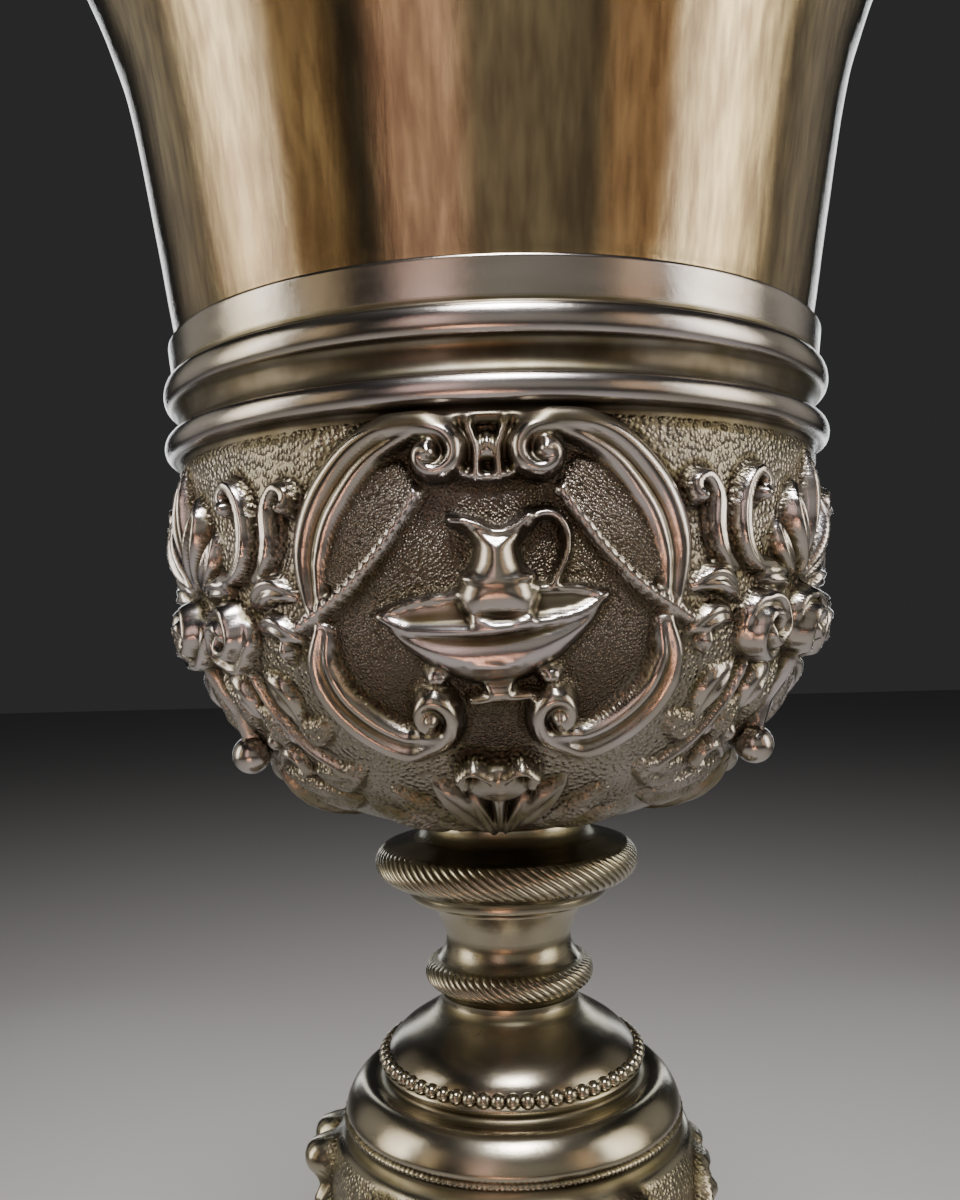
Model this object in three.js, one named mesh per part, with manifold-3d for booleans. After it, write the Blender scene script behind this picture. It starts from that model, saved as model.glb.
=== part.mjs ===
// A silver chalice with a gilt cup in a relief calyx, on a turned stem, a baluster knop and a domed foot.
// Millimetres, +Z up, origin at the centre of the foot's underside. The side with the ewer faces -Y.

import * as THREE from "three";
import { mergeVertices } from "three/addons/utils/BufferGeometryUtils.js";
import Module from "manifold-3d";

const wasm = await Module();
wasm.setup();

// Heights of the stacked pieces, from the floor up
const FOOT_HEIGHT = 80;
const FOOT_COLLAR_HEIGHT = 9.5;
const LOWER_SPOOL_HEIGHT = 17.5;
const KNOP_HEIGHT = 64;
const NECK_SPOOL_HEIGHT = 11;
const COLLAR_HEIGHT = 10;
const CALYX_HEIGHT = 56.2;
const CUP_ABOVE_CALYX = 46.8;

// Radii of the turned work
const RIM_RADIUS = 49.5;
const CUP_WAIST_RADIUS = 38.2;
const CALYX_RADIUS = 38.6;
const CALYX_SEAT_RADIUS = 10.2;
const COLLAR_RADIUS = 16.5;
const COLLAR_DISH_RADIUS = 14.4;
const SPOOL_WAIST_RADIUS = 7.6;
const SPOOL_SEAT_RADIUS = 9.6;
const SPOOL_RING_RADIUS = 10.3;
const STEM_SEAT_RADIUS = 8.3;
const KNOP_SHOULDER_RADIUS = 20.2;
const KNOP_BELLY_RADIUS = 22.4;
const BEAD_ROW_RADIUS = 14.3;
const FOOT_RADIUS = 73;
const FOOT_DOME_RADIUS = 56;

// Walls and clearances
const CUP_WALL = 1.0;
const RIM_LAND = 0.8;
const CALYX_WALL = 1.1;
const FOOT_WALL = 1.6;
const FOOT_LIP = 3;
const CUP_CLEARANCE = 0.25;

// Mouldings
const CALYX_BAND_HEIGHT = 4.2;
const CALYX_TORUS_HEIGHT = 3.1;
const CALYX_TORUS_PROUD = 1.0;
const CALYX_HOLLOW_HEIGHT = 3.1;
const CALYX_HOLLOW_DEPTH = 0.3;
const CALYX_FILLET_HEIGHT = 1.5;
const ROPE_HEIGHT = 4.4;
const FOOT_ROPE_HEIGHT = 5;
const FOOT_ROPE_PROUD = 1.6;

// Relief, in three equal sectors
const SECTORS = 3;
const MEDALLION_RADIUS = 16.6;
const MEDALLION_DEPTH = 16;
const FRAME_STRAND = 1.5;
const VOLUTE_RADIUS = 1.7;
const VOLUTE_SIDE = 4.9;
const RIBBON_STRAND = 0.8;
const ROSE_RADIUS = 4.0;
const BERRY_RADIUS = 2.3;
const SCROLL_STRAND = 1.1;
const FOOT_MEDALLION_RADIUS = 11;
const KNOP_MEDALLION_RADIUS = 7;
const SWAG_STRAND = 1.6;
const BOW_RADIUS = 2;

// Facets
const WIDE_SIDES = 28;
const STEM_SIDES = 20;
const CURVE_STEPS = 2;
const STRAND_SIDES = 3;

const silver = new THREE.MeshStandardMaterial({ color: 0xb3aca3, metalness: 1, roughness: 0.3 });
const gilt = new THREE.MeshStandardMaterial({ color: 0xa08458, metalness: 1, roughness: 0.28 });

// A closed geometry as a manifold solid, with its faces turned outwards.
function solid(geometry) {
  const bare = geometry.index ? geometry.toNonIndexed() : geometry.clone();
  bare.deleteAttribute("normal");
  bare.deleteAttribute("uv");
  const merged = mergeVertices(bare, 1e-4);
  const corners = Array.from(merged.index.array);
  const faces = [];
  for (let i = 0; i < corners.length; i += 3) {
    const [a, b, c] = corners.slice(i, i + 3);
    if (a !== b && b !== c && c !== a) faces.push([a, b, c]);
  }
  const made = (turned) =>
    new wasm.Manifold(
      new wasm.Mesh({
        numProp: 3,
        vertProperties: merged.attributes.position.array,
        triVerts: new Uint32Array(faces.flatMap(([a, b, c]) => (turned ? [a, c, b] : [a, b, c]))),
      }),
    );
  const first = made(false);
  return first.volume() < 0 ? made(true) : first;
}

function geometryOf(manifold) {
  const mesh = manifold.getMesh();
  return new THREE.BufferGeometry()
    .setAttribute("position", new THREE.BufferAttribute(mesh.vertProperties, 3))
    .setIndex(new THREE.BufferAttribute(mesh.triVerts, 1));
}

// A profile of radius against height, turned about +Z. Its ends lie on the axis.
function turned(path, sides) {
  const geometry = new THREE.LatheGeometry(path.getPoints(CURVE_STEPS), sides);
  return geometry.rotateX(Math.PI / 2);
}

// Draws a half-round moulding from the path's last point to the height z, standing proud by the given amount.
function roundMoulding(path, z, proud, endRadius = path.currentPoint.x) {
  const { x: r, y: z0 } = path.currentPoint;
  const reach = (4 / 3) * proud;
  return path.bezierCurveTo(r + reach, z0, endRadius + reach, z, endRadius, z);
}

// The ground of a relief: a profile curve with evenly spaced marks down its length. Figures are laid out
// in marks along it and to the side, so that they grow with the piece that carries them.
class Skin {
  constructor(points, marks) {
    this.curve = new THREE.SplineCurve(points.map(([r, z]) => new THREE.Vector2(r, z)));
    this.marks = marks;
    this.unit = this.curve.getLength() / marks;
  }

  // Radius and height at a share of the profile's length, lifted off the ground by some millimetres.
  lifted(share, lift) {
    const u = THREE.MathUtils.clamp(share, 0, 1);
    const spot = this.curve.getPointAt(u);
    const way = this.curve.getTangentAt(u);
    return new THREE.Vector2(spot.x + Math.abs(way.y) * lift, spot.y - Math.sign(way.y) * way.x * lift);
  }

  // The point some marks beside a centre line and some marks along the profile.
  place(centre, side, along, lift = 0) {
    const share = along / this.marks;
    const angle = centre + (side * this.unit) / this.lifted(share, 0).x;
    const spot = this.lifted(share, lift * this.unit);
    return new THREE.Vector3(spot.x * Math.sin(angle), -spot.x * Math.cos(angle), spot.y);
  }

  // Points of the profile from its start to its end, for the solid that carries the relief.
  outline(steps) {
    return this.curve.getSpacedPoints(steps);
  }
}

// A strand of one thickness, swept along a smooth curve through points.
function strand(points, radius, steps) {
  const corner = (i) => (2 * Math.PI * i) / STRAND_SIDES;
  const ring = Array.from({ length: STRAND_SIDES }, (_, i) => i);
  const section = new THREE.Shape(
    ring.map((i) => new THREE.Vector2(radius * Math.cos(corner(i)), radius * Math.sin(corner(i)))),
  );
  const geometry = new THREE.ExtrudeGeometry(section, {
    steps,
    extrudePath: new THREE.CatmullRomCurve3(points),
  });
  return solid(geometry);
}

function ball(centre, radius, detail = 5) {
  const geometry = new THREE.SphereGeometry(radius, detail, Math.ceil(detail * 0.55));
  return solid(geometry.translate(centre.x, centre.y, centre.z));
}

// Points on an arc about a centre of the relief's own plane, from one angle to another, in degrees.
function arcOn(skin, centre, [side, along], radius, from, to, count, lift = -0.4) {
  const reach = radius / skin.unit;
  return Array.from({ length: count + 1 }, (_, i) => {
    const turn = THREE.MathUtils.degToRad(from + ((to - from) * i) / count);
    return skin.place(centre, side + reach * Math.cos(turn), along - reach * Math.sin(turn), lift);
  });
}

// A round frame of two C-scrolls above and two below, each ending in a volute near the centre line.
function scrollFrame(skin, centre, along, radius, strandRadius, volute) {
  const parts = [];
  for (const side of [-1, 1]) {
    const turns = side > 0 ? (a) => a : (a) => 180 - a;
    parts.push(strand(arcOn(skin, centre, [0, along], radius, turns(-2), turns(76), 4), strandRadius, 4));
    parts.push(strand(arcOn(skin, centre, [0, along], radius, turns(-10), turns(-74), 4), strandRadius, 3));
    for (const drop of [-0.73, 0.7]) {
      const eye = skin.place(centre, (side * volute.side) / skin.unit, along + (drop * radius) / skin.unit, 0.3);
      parts.push(ball(eye, volute.radius, 4));
    }
  }
  return parts;
}

// An open rose: a low round flower.
function rose(skin, centre, side, along, radius) {
  return ball(skin.place(centre, side, along, (-0.3 * radius) / skin.unit), radius, 6);
}

// An S-scroll that rises from the flowers and hooks over at its top.
function hookedScroll(skin, centre, side, along, way) {
  const walk = [
    [0, 0],
    [1.6, -4.5],
    [1.2, -8.8],
    [-0.9, -9.6],
    [-1.6, -7.6],
  ];
  const points = walk.map(([s, a]) => skin.place(centre, side + way * s, along + a, -0.3));
  return strand(points, SCROLL_STRAND, 3);
}

// The ewer in its basin, as half round figures on the medallion's ground.
function ewerAndBasin(skin, centre) {
  const depth = MEDALLION_DEPTH / skin.unit;
  const at = (side, along, lift = 0) => skin.place(centre, side, depth + along, lift);
  const size = skin.unit;
  const bowl = new THREE.SphereGeometry(size, 6, 3).scale(10, 2.6, 2.6);
  const seat = at(0, 2.2, -0.4);
  return [
    solid(bowl.rotateZ(centre).translate(seat.x, seat.y, seat.z)),
    strand([at(0, 3), at(0, 8.5)], 2.3 * size, 1),
    ball(at(-0.6, -1), 3 * size),
    strand([at(-0.6, -2), at(-0.8, -8)], 1.7 * size, 1),
    strand([at(0.8, -7.4), at(3.6, -8.6, -0.3), at(4.8, -5, -0.3), at(3.6, -0.6)], 0.8 * size, 3),
  ];
}

// A pointed leaf laid down the ground, fat in its middle.
function leaf(skin, centre, from, to, width) {
  const length = Math.hypot(to[0] - from[0], to[1] - from[1]);
  const shape = new THREE.SphereGeometry(1, 4, 2);
  const a = skin.place(centre, ...from);
  const b = skin.place(centre, ...to);
  const middle = skin.place(centre, (from[0] + to[0]) / 2, (from[1] + to[1]) / 2);
  const turn = new THREE.Quaternion().setFromUnitVectors(new THREE.Vector3(0, 0, 1), b.sub(a).normalize());
  const size = skin.unit / 2;
  shape.scale(width * size, width * size, length * size).applyQuaternion(turn);
  return solid(shape.translate(middle.x, middle.y, middle.z));
}

const sectorAngle = (i) => (2 * Math.PI * i) / SECTORS;
const halfSector = Math.PI / SECTORS;

// One body from a turned core and the figures on it. Pockets closed in between them are filled.
function joined(body, parts) {
  const shells = wasm.Manifold.union([body, ...parts]).decompose();
  return shells.reduce((most, shell) => (shell.volume() > most.volume() ? shell : most));
}

// Where each piece starts
const footCollarBase = FOOT_HEIGHT;
const lowerSpoolBase = footCollarBase + FOOT_COLLAR_HEIGHT;
const knopBase = lowerSpoolBase + LOWER_SPOOL_HEIGHT;
const neckSpoolBase = knopBase + KNOP_HEIGHT;
const collarBase = neckSpoolBase + NECK_SPOOL_HEIGHT;
const calyxBase = collarBase + COLLAR_HEIGHT;

// The calyx's ground below its mouldings, as shares of its radius and of its own height.
const mouldingsHeight =
  CALYX_BAND_HEIGHT + 2 * CALYX_TORUS_HEIGHT + CALYX_HOLLOW_HEIGHT + CALYX_FILLET_HEIGHT;
const groundHeight = CALYX_HEIGHT - mouldingsHeight;
const GROUND_SHARES = [
  [0.985, 1],
  [0.974, 0.843],
  [0.958, 0.699],
  [0.932, 0.554],
  [0.884, 0.446],
  [0.822, 0.337],
  [0.75, 0.229],
  [0.65, 0.133],
  [0.518, 0.06],
  [0.363, 0.014],
];

const calyxSkin = new Skin(
  GROUND_SHARES.map(([r, h]) => [r * CALYX_RADIUS, h * groundHeight]),
  51,
);

// The calyx's inner side, set in from its ground, from the band down to the floor.
function lining(inset) {
  const count = 3;
  const points = Array.from({ length: count + 1 }, (_, i) => calyxSkin.lifted(i / count, -inset));
  const bandFoot = CALYX_HEIGHT - CALYX_BAND_HEIGHT;
  return [new THREE.Vector2(CALYX_RADIUS - inset, bandFoot), ...points];
}

function calyxRelief(skin) {
  const depth = MEDALLION_DEPTH / skin.unit;
  const parts = [];
  for (let i = 0; i < SECTORS; i++) {
    const middle = sectorAngle(i);
    const between = middle + halfSector;
    const volute = { side: VOLUTE_SIDE, radius: VOLUTE_RADIUS };
    parts.push(...scrollFrame(skin, middle, depth, MEDALLION_RADIUS, FRAME_STRAND, volute));
    parts.push(...ewerAndBasin(skin, middle));
    for (const way of [-1, 1]) {
      const ribbon = [[7.8, 6.9], [13.2, 13.6], [20.6, 17.8]];
      parts.push(strand(ribbon.map(([s, a]) => skin.place(middle, way * s, a, -0.2)), RIBBON_STRAND, 1));
      parts.push(rose(skin, between, way * 8.6, 18.6, ROSE_RADIUS));
      parts.push(hookedScroll(skin, between, way * 9.4, 13.4, way));
      parts.push(hookedScroll(skin, between, way * 4.6, 13.2, -way));
      parts.push(leaf(skin, between, [way * 8.5, 23], [way * 4.5, 34], 3.6));
    }
    parts.push(rose(skin, between, 0, 18.6, ROSE_RADIUS * 0.95));
    parts.push(ball(skin.place(between, 0, 31.2, (0.55 * BERRY_RADIUS) / skin.unit), BERRY_RADIUS));
    parts.push(leaf(skin, middle, [-3.6, 34.4], [3.6, 34.4], 3.4));
    parts.push(leaf(skin, middle, [0, 33], [0, 44], 3.8));
  }
  return parts;
}

function calyx() {
  const ground = calyxSkin.outline(5).toReversed();
  const path = new THREE.Path([new THREE.Vector2(0, 0), new THREE.Vector2(CALYX_SEAT_RADIUS, 0)]);
  for (const p of ground) path.lineTo(p.x, p.y);
  let z = groundHeight;
  path.lineTo(CALYX_RADIUS, (z += CALYX_FILLET_HEIGHT * 0.4));
  path.lineTo(CALYX_RADIUS, (z += CALYX_FILLET_HEIGHT * 0.6));
  roundMoulding(path, (z += CALYX_TORUS_HEIGHT), CALYX_TORUS_PROUD);
  roundMoulding(path, (z += CALYX_HOLLOW_HEIGHT), -CALYX_HOLLOW_DEPTH);
  roundMoulding(path, (z += CALYX_TORUS_HEIGHT), CALYX_TORUS_PROUD);
  path.lineTo(CUP_WAIST_RADIUS + CUP_CLEARANCE + RIM_LAND, CALYX_HEIGHT);
  path.lineTo(0, CALYX_HEIGHT);
  const wall = lining(CALYX_WALL);
  const floor = wall.at(-1).y;
  const space = new THREE.Path([new THREE.Vector2(0, floor)]);
  for (const p of wall.toReversed()) space.lineTo(p.x, p.y);
  space.lineTo(CUP_WAIST_RADIUS + CUP_CLEARANCE, CALYX_HEIGHT);
  space.lineTo(CUP_WAIST_RADIUS + CUP_CLEARANCE, CALYX_HEIGHT + 1);
  space.lineTo(0, CALYX_HEIGHT + 1);
  return joined(solid(turned(path, WIDE_SIDES)), calyxRelief(calyxSkin))
    .subtract(solid(turned(space, WIDE_SIDES)));
}

// The cup stands on the calyx's floor and flares from the waist to the rim.
function cup() {
  const floor = lining(CALYX_WALL).at(-1).y;
  const outside = lining(CALYX_WALL + CUP_CLEARANCE).slice(0, -1);
  const inside = lining(CALYX_WALL + CUP_CLEARANCE + CUP_WALL).slice(0, -1);
  const lip = CALYX_HEIGHT + CUP_ABOVE_CALYX;
  const flare = RIM_RADIUS - CUP_WAIST_RADIUS;
  const path = new THREE.Path([new THREE.Vector2(0, floor), new THREE.Vector2(CALYX_SEAT_RADIUS, floor)]);
  for (const p of outside.toReversed()) path.lineTo(p.x, p.y);
  path.lineTo(CUP_WAIST_RADIUS, CALYX_HEIGHT);
  path.bezierCurveTo(
    CUP_WAIST_RADIUS + flare * 0.35, CALYX_HEIGHT + CUP_ABOVE_CALYX * 0.5,
    CUP_WAIST_RADIUS + flare * 0.45, CALYX_HEIGHT + CUP_ABOVE_CALYX * 0.72,
    RIM_RADIUS, lip - RIM_LAND / 2,
  );
  path.lineTo(RIM_RADIUS - RIM_LAND / 4, lip);
  path.lineTo(RIM_RADIUS - RIM_LAND, lip);
  path.bezierCurveTo(
    CUP_WAIST_RADIUS + flare * 0.45 - CUP_WALL, CALYX_HEIGHT + CUP_ABOVE_CALYX * 0.72,
    CUP_WAIST_RADIUS + flare * 0.35 - CUP_WALL, CALYX_HEIGHT + CUP_ABOVE_CALYX * 0.5,
    CUP_WAIST_RADIUS - CUP_WALL, CALYX_HEIGHT,
  );
  for (const p of inside) path.lineTo(p.x, p.y);
  path.lineTo(0, floor + CUP_WALL);
  return solid(turned(path, WIDE_SIDES));
}

// A dish on a short neck with a roped rim, over a stepped underside.
function collar(height, topRadius, bottomRadius) {
  const ropeTop = height * 0.69;
  const path = new THREE.Path([new THREE.Vector2(0, 0), new THREE.Vector2(bottomRadius, 0)]);
  path.quadraticCurveTo(bottomRadius + 0.8, height * 0.06, COLLAR_DISH_RADIUS * 0.83, height * 0.1);
  path.lineTo(COLLAR_DISH_RADIUS * 0.89, height * 0.18);
  path.lineTo(COLLAR_DISH_RADIUS * 0.89, height * 0.25);
  path.lineTo(COLLAR_DISH_RADIUS, ropeTop - ROPE_HEIGHT);
  roundMoulding(path, ropeTop, COLLAR_RADIUS - COLLAR_DISH_RADIUS);
  path.quadraticCurveTo(topRadius + 1.6, height * 0.84, topRadius, height * 0.9);
  path.lineTo(topRadius, height);
  path.lineTo(0, height);
  return solid(turned(path, STEM_SIDES));
}

// A waisted spool with a roped ring at its narrow end.
function spool(height, wideRadius, ringAtBottom) {
  const flip = (z) => (ringAtBottom ? z : height - z);
  const stops = [
    [STEM_SEAT_RADIUS, 0],
    [SPOOL_RING_RADIUS - 0.3, height * 0.12],
    [SPOOL_RING_RADIUS, height * 0.21],
    [SPOOL_RING_RADIUS - 0.5, height * 0.3],
    [SPOOL_SEAT_RADIUS * 0.93, height * 0.37],
    [SPOOL_WAIST_RADIUS, height * 0.6],
    [SPOOL_WAIST_RADIUS * 1.1, height * 0.86],
    [wideRadius, height],
  ].map(([r, z]) => [r, flip(z)]);
  if (!ringAtBottom) stops.reverse();
  const path = new THREE.Path([new THREE.Vector2(0, 0)]);
  for (const [r, z] of stops) path.lineTo(r, z);
  path.lineTo(0, height);
  return solid(turned(path, STEM_SIDES));
}

// The knop: an urn below, and above it a swelling ring and a small dome inside a row of beads.
function knop() {
  const shoulder = KNOP_HEIGHT * 0.79;
  const belly = new Skin([
    [STEM_SEAT_RADIUS * 1.1, KNOP_HEIGHT * 0.05],
    [KNOP_BELLY_RADIUS * 0.62, KNOP_HEIGHT * 0.21],
    [KNOP_BELLY_RADIUS * 0.9, KNOP_HEIGHT * 0.4],
    [KNOP_BELLY_RADIUS, KNOP_HEIGHT * 0.58],
    [KNOP_BELLY_RADIUS * 0.95, KNOP_HEIGHT * 0.69],
    [KNOP_SHOULDER_RADIUS * 0.96, KNOP_HEIGHT * 0.765],
  ], 50);
  const path = new THREE.Path([new THREE.Vector2(0, 0), new THREE.Vector2(STEM_SEAT_RADIUS, 0)]);
  for (const p of belly.outline(4)) path.lineTo(p.x, p.y);
  path.lineTo(KNOP_SHOULDER_RADIUS, shoulder - 1);
  roundMoulding(path, KNOP_HEIGHT * 0.87, 0.9, KNOP_SHOULDER_RADIUS - 3.6);
  path.lineTo(BEAD_ROW_RADIUS + 0.9, KNOP_HEIGHT * 0.885);
  roundMoulding(path, KNOP_HEIGHT * 0.905, 0.5, BEAD_ROW_RADIUS - 0.3);
  path.quadraticCurveTo(BEAD_ROW_RADIUS - 1, KNOP_HEIGHT * 0.955, STEM_SEAT_RADIUS + 0.8, KNOP_HEIGHT * 0.98);
  path.lineTo(STEM_SEAT_RADIUS, KNOP_HEIGHT);
  path.lineTo(0, KNOP_HEIGHT);
  const parts = [];
  for (let i = 0; i < SECTORS; i++) {
    const cartouche = sectorAngle(i) - halfSector * 0.9;
    const bow = cartouche + halfSector;
    parts.push(strand(arcOn(belly, cartouche, [0, 34], KNOP_MEDALLION_RADIUS, 0, 340, 7), 1.3, 7));
    for (const way of [-1, 1]) {
      parts.push(ball(belly.place(bow, way * 1.9, 46.5, 0.4), BOW_RADIUS));
      const swag = [[1.5, 45], [6, 37], [11.5, 32], [15, 34]];
      parts.push(strand(swag.map(([s, a]) => belly.place(bow, way * s, a, -0.8)), SWAG_STRAND, 3));
    }
  }
  return joined(solid(turned(path, STEM_SIDES)), parts);
}

// The foot: a stepped, roped base, a domed field with three medallions, and a flared neck. Hollow below.
function foot() {
  const DOME_SHARES = [
    [1, 0.238],
    [0.955, 0.313],
    [0.83, 0.419],
    [0.64, 0.506],
    [0.44, 0.581],
    [0.29, 0.675],
    [0.21, 0.788],
    [0.175, 0.913],
  ];
  const dome = new Skin(
    DOME_SHARES.map(([r, h]) => [r * FOOT_DOME_RADIUS, h * FOOT_HEIGHT]),
    75,
  );
  const inside = [0.86, 0.68, 0.5, 0.25, 0].map((share) => dome.lifted(share, -FOOT_WALL));
  const path = new THREE.Path([new THREE.Vector2(0, inside[0].y)]);
  for (const p of inside) path.lineTo(p.x, p.y);
  path.lineTo(FOOT_RADIUS - FOOT_LIP, FOOT_WALL * 2);
  path.lineTo(FOOT_RADIUS - FOOT_LIP, 0);
  path.lineTo(FOOT_RADIUS, 0);
  path.lineTo(FOOT_RADIUS, FOOT_LIP);
  roundMoulding(path, FOOT_LIP + FOOT_ROPE_HEIGHT, FOOT_ROPE_PROUD, FOOT_RADIUS - 2.5);
  roundMoulding(path, FOOT_LIP + FOOT_ROPE_HEIGHT + 4, 1, FOOT_RADIUS - 9);
  path.quadraticCurveTo(FOOT_DOME_RADIUS + 2, FOOT_HEIGHT * 0.16, FOOT_DOME_RADIUS + 1.6, FOOT_HEIGHT * 0.22);
  for (const p of dome.outline(5)) path.lineTo(p.x, p.y);
  const neck = path.currentPoint.x;
  path.lineTo(neck, FOOT_HEIGHT - 5.5);
  roundMoulding(path, FOOT_HEIGHT - 2.5, 1);
  path.lineTo(SPOOL_SEAT_RADIUS, FOOT_HEIGHT);
  path.lineTo(0, FOOT_HEIGHT);
  const parts = [];
  for (let i = 0; i < SECTORS; i++) {
    const middle = sectorAngle(i);
    const ring = arcOn(dome, middle, [0, 17.5], FOOT_MEDALLION_RADIUS, 90, 430, 8);
    parts.push(strand(ring, FRAME_STRAND, 8));
    parts.push(rose(dome, middle + halfSector, 0, 12.5, ROSE_RADIUS));
  }
  return joined(solid(turned(path, WIDE_SIDES)), parts);
}

const chalice = new THREE.Group();

function add(name, made, material, base) {
  const mesh = new THREE.Mesh(geometryOf(made), material.clone());
  mesh.name = name;
  mesh.position.z = base;
  chalice.add(mesh);
}

add("foot", foot(), silver, 0);
add("foot_collar", collar(FOOT_COLLAR_HEIGHT, SPOOL_SEAT_RADIUS, SPOOL_SEAT_RADIUS), silver, footCollarBase);
add("lower_spool", spool(LOWER_SPOOL_HEIGHT, SPOOL_SEAT_RADIUS, false), silver, lowerSpoolBase);
add("knop", knop(), silver, knopBase);
add("neck_spool", spool(NECK_SPOOL_HEIGHT, SPOOL_SEAT_RADIUS, true), silver, neckSpoolBase);
add("collar", collar(COLLAR_HEIGHT, CALYX_SEAT_RADIUS, SPOOL_SEAT_RADIUS), gilt, collarBase);
add("calyx", calyx(), silver, calyxBase);
add("cup", cup(), gilt, calyxBase);

export default chalice;
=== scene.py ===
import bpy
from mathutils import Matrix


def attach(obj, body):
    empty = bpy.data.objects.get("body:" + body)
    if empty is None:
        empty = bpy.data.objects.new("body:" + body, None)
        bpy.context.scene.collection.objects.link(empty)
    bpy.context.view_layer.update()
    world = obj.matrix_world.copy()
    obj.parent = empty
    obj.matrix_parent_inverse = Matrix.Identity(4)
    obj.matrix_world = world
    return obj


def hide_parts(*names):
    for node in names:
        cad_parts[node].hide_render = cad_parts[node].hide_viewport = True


bl_info = {
    "name": "Relief Chalice",
    "version": (1, 0, 0),
    "blender": (4, 5, 0),
    "location": "View3D > Sidebar > Chalice",
    "description": "Builds a silver chalice with a gilt cup, chased relief and roped mouldings",
    "category": "Add Mesh",
}

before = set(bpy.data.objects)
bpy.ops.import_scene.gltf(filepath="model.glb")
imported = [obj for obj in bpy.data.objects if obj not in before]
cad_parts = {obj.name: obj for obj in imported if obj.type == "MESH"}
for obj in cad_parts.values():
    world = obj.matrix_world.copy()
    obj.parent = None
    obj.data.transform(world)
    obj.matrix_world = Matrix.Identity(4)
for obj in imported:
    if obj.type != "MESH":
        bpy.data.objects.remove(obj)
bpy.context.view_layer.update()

import math

import bpy
import numpy as np
from mathutils import Matrix, Vector

MM = 0.001
TAU = 2 * math.pi
# The carving repeats by thirds of a turn, in degrees.
SECTORS = 3
THIRD = 360 / SECTORS
# Millimetres round each piece for a degree of turn, in which its carving is laid out.
CALYX_ARC, KNOP_ARC, FOOT_ARC = 0.65, 0.39, 0.82
# How far the calyx and the urn's swags are turned on the stem, in degrees.
CALYX_TURN, SWAG_TURN = -1.15, 27
# The height at which the calyx's carving has its y of 0.
CALYX_MIDDLE = 215.0
# The camera's place in metres, its turn, tilt and roll in degrees, and its lens in millimetres.
CAMERA_PLACE = (0.0, -0.13065, 0.215)
CAMERA_TURN = (1.07, 1.6, -1.5)
CAMERA_LENS = 31.5
# Each lamp's name, its turn round the chalice in degrees, how far out and how high it stands in metres,
# its width and height, its power in watts and its colour.
LAMPS = (
    ("panel_left", -84, 0.7, 0.34, (0.2, 0.6), 0.6, (1.0, 0.92, 0.76)),
    ("strip_left", -74, 0.68, 0.36, (0.05, 0.5), 0.26, (1.0, 0.96, 0.9)),
    ("strip_right", 66, 0.68, 0.36, (0.06, 0.5), 0.3, (1.0, 0.96, 0.9)),
    ("panel_left_near", -56, 0.7, 0.34, (0.12, 0.5), 0.08, (1.0, 0.78, 0.5)),
    ("panel_front_left", -19, 0.7, 0.36, (0.11, 0.5), 0.13, (1.0, 0.66, 0.6)),
    ("panel_front", 4, 0.95, 0.34, (1.5, 0.6), 0.36, (1.0, 0.95, 0.82)),
    ("side_left", -112, 0.75, 0.34, (0.35, 0.6), 0.09, (1.0, 0.95, 0.82)),
    ("side_right", 112, 0.75, 0.34, (0.35, 0.6), 0.09, (1.0, 0.95, 0.82)),
    ("panel_right_near", 46, 0.7, 0.36, (0.08, 0.5), 0.09, (1.0, 0.7, 0.46)),
    ("panel_right", 78, 0.7, 0.34, (0.24, 0.6), 0.74, (1.0, 0.92, 0.75)),
    ("edge_left", -150, 0.6, 0.34, (0.07, 0.5), 0.13, (0.94, 0.98, 1.0)),
    ("edge_right", 150, 0.6, 0.34, (0.07, 0.5), 0.13, (0.94, 0.98, 1.0)),
    ("top_soft", 4, 0.38, 0.8, (0.2, 0.2), 3.0, (1.0, 0.99, 1.0)),
    ("low_warm", -8, 0.4, 0.03, (0.1, 0.03), 0.05, (1.0, 0.5, 0.3)),
)


# Curves


def smooth(points, count):
    """A Catmull-Rom curve through points, as count points spaced evenly along its length."""
    p = np.asarray(points, float)
    ends = np.vstack([2 * p[0] - p[1], p, 2 * p[-1] - p[-2]])
    t = np.linspace(0, 1, 9)[:-1, None]
    a, b, c, d = ends[:-3], ends[1:-2], ends[2:-1], ends[3:]
    runs = [
        0.5 * (2 * b[i] + (c[i] - a[i]) * t + (2 * a[i] - 5 * b[i] + 4 * c[i] - d[i]) * t**2
               + (3 * b[i] - a[i] - 3 * c[i] + d[i]) * t**3)
        for i in range(len(p) - 1)
    ]
    fine = np.vstack(runs + [p[-1:]])
    return evenly(fine, count)


def evenly(line, count):
    """The same line, with count points spaced evenly along it."""
    walked = walk_along(line)
    at = np.linspace(0, walked[-1], count)
    return np.stack([np.interp(at, walked, line[:, i]) for i in range(line.shape[1])], axis=1)


def walk_along(line):
    """The length walked along a line up to each of its points."""
    return np.concatenate([[0], np.cumsum(np.linalg.norm(np.diff(line, axis=0), axis=1))])


def profile(runs, pitch):
    """One line of radius against height from straight and curved runs. Runs of two points are straight."""
    parts = []
    for run in runs:
        line = np.asarray(run, float) if len(run) == 2 else smooth(run, 60)
        count = max(2, int(math.ceil(walk_along(line)[-1] / pitch)) + 1)
        parts.append(evenly(line, count)[: None if run is runs[-1] else -1])
    return np.vstack(parts)


def spiral(centre, start, sweep, wide, narrow, count=14):
    """Points that wind in from radius wide to narrow about a centre, through sweep degrees."""
    turn = np.radians(start + np.linspace(0, sweep, count))
    radius = np.linspace(wide, narrow, count)
    return [(centre[0] + r * math.cos(w), centre[1] + r * math.sin(w)) for r, w in zip(radius, turn)]


def about(middle, side, points):
    """Points given by their distance from an upright line at middle, set out on one side of it."""
    return [(middle + side * x, y) for x, y in points]


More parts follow.
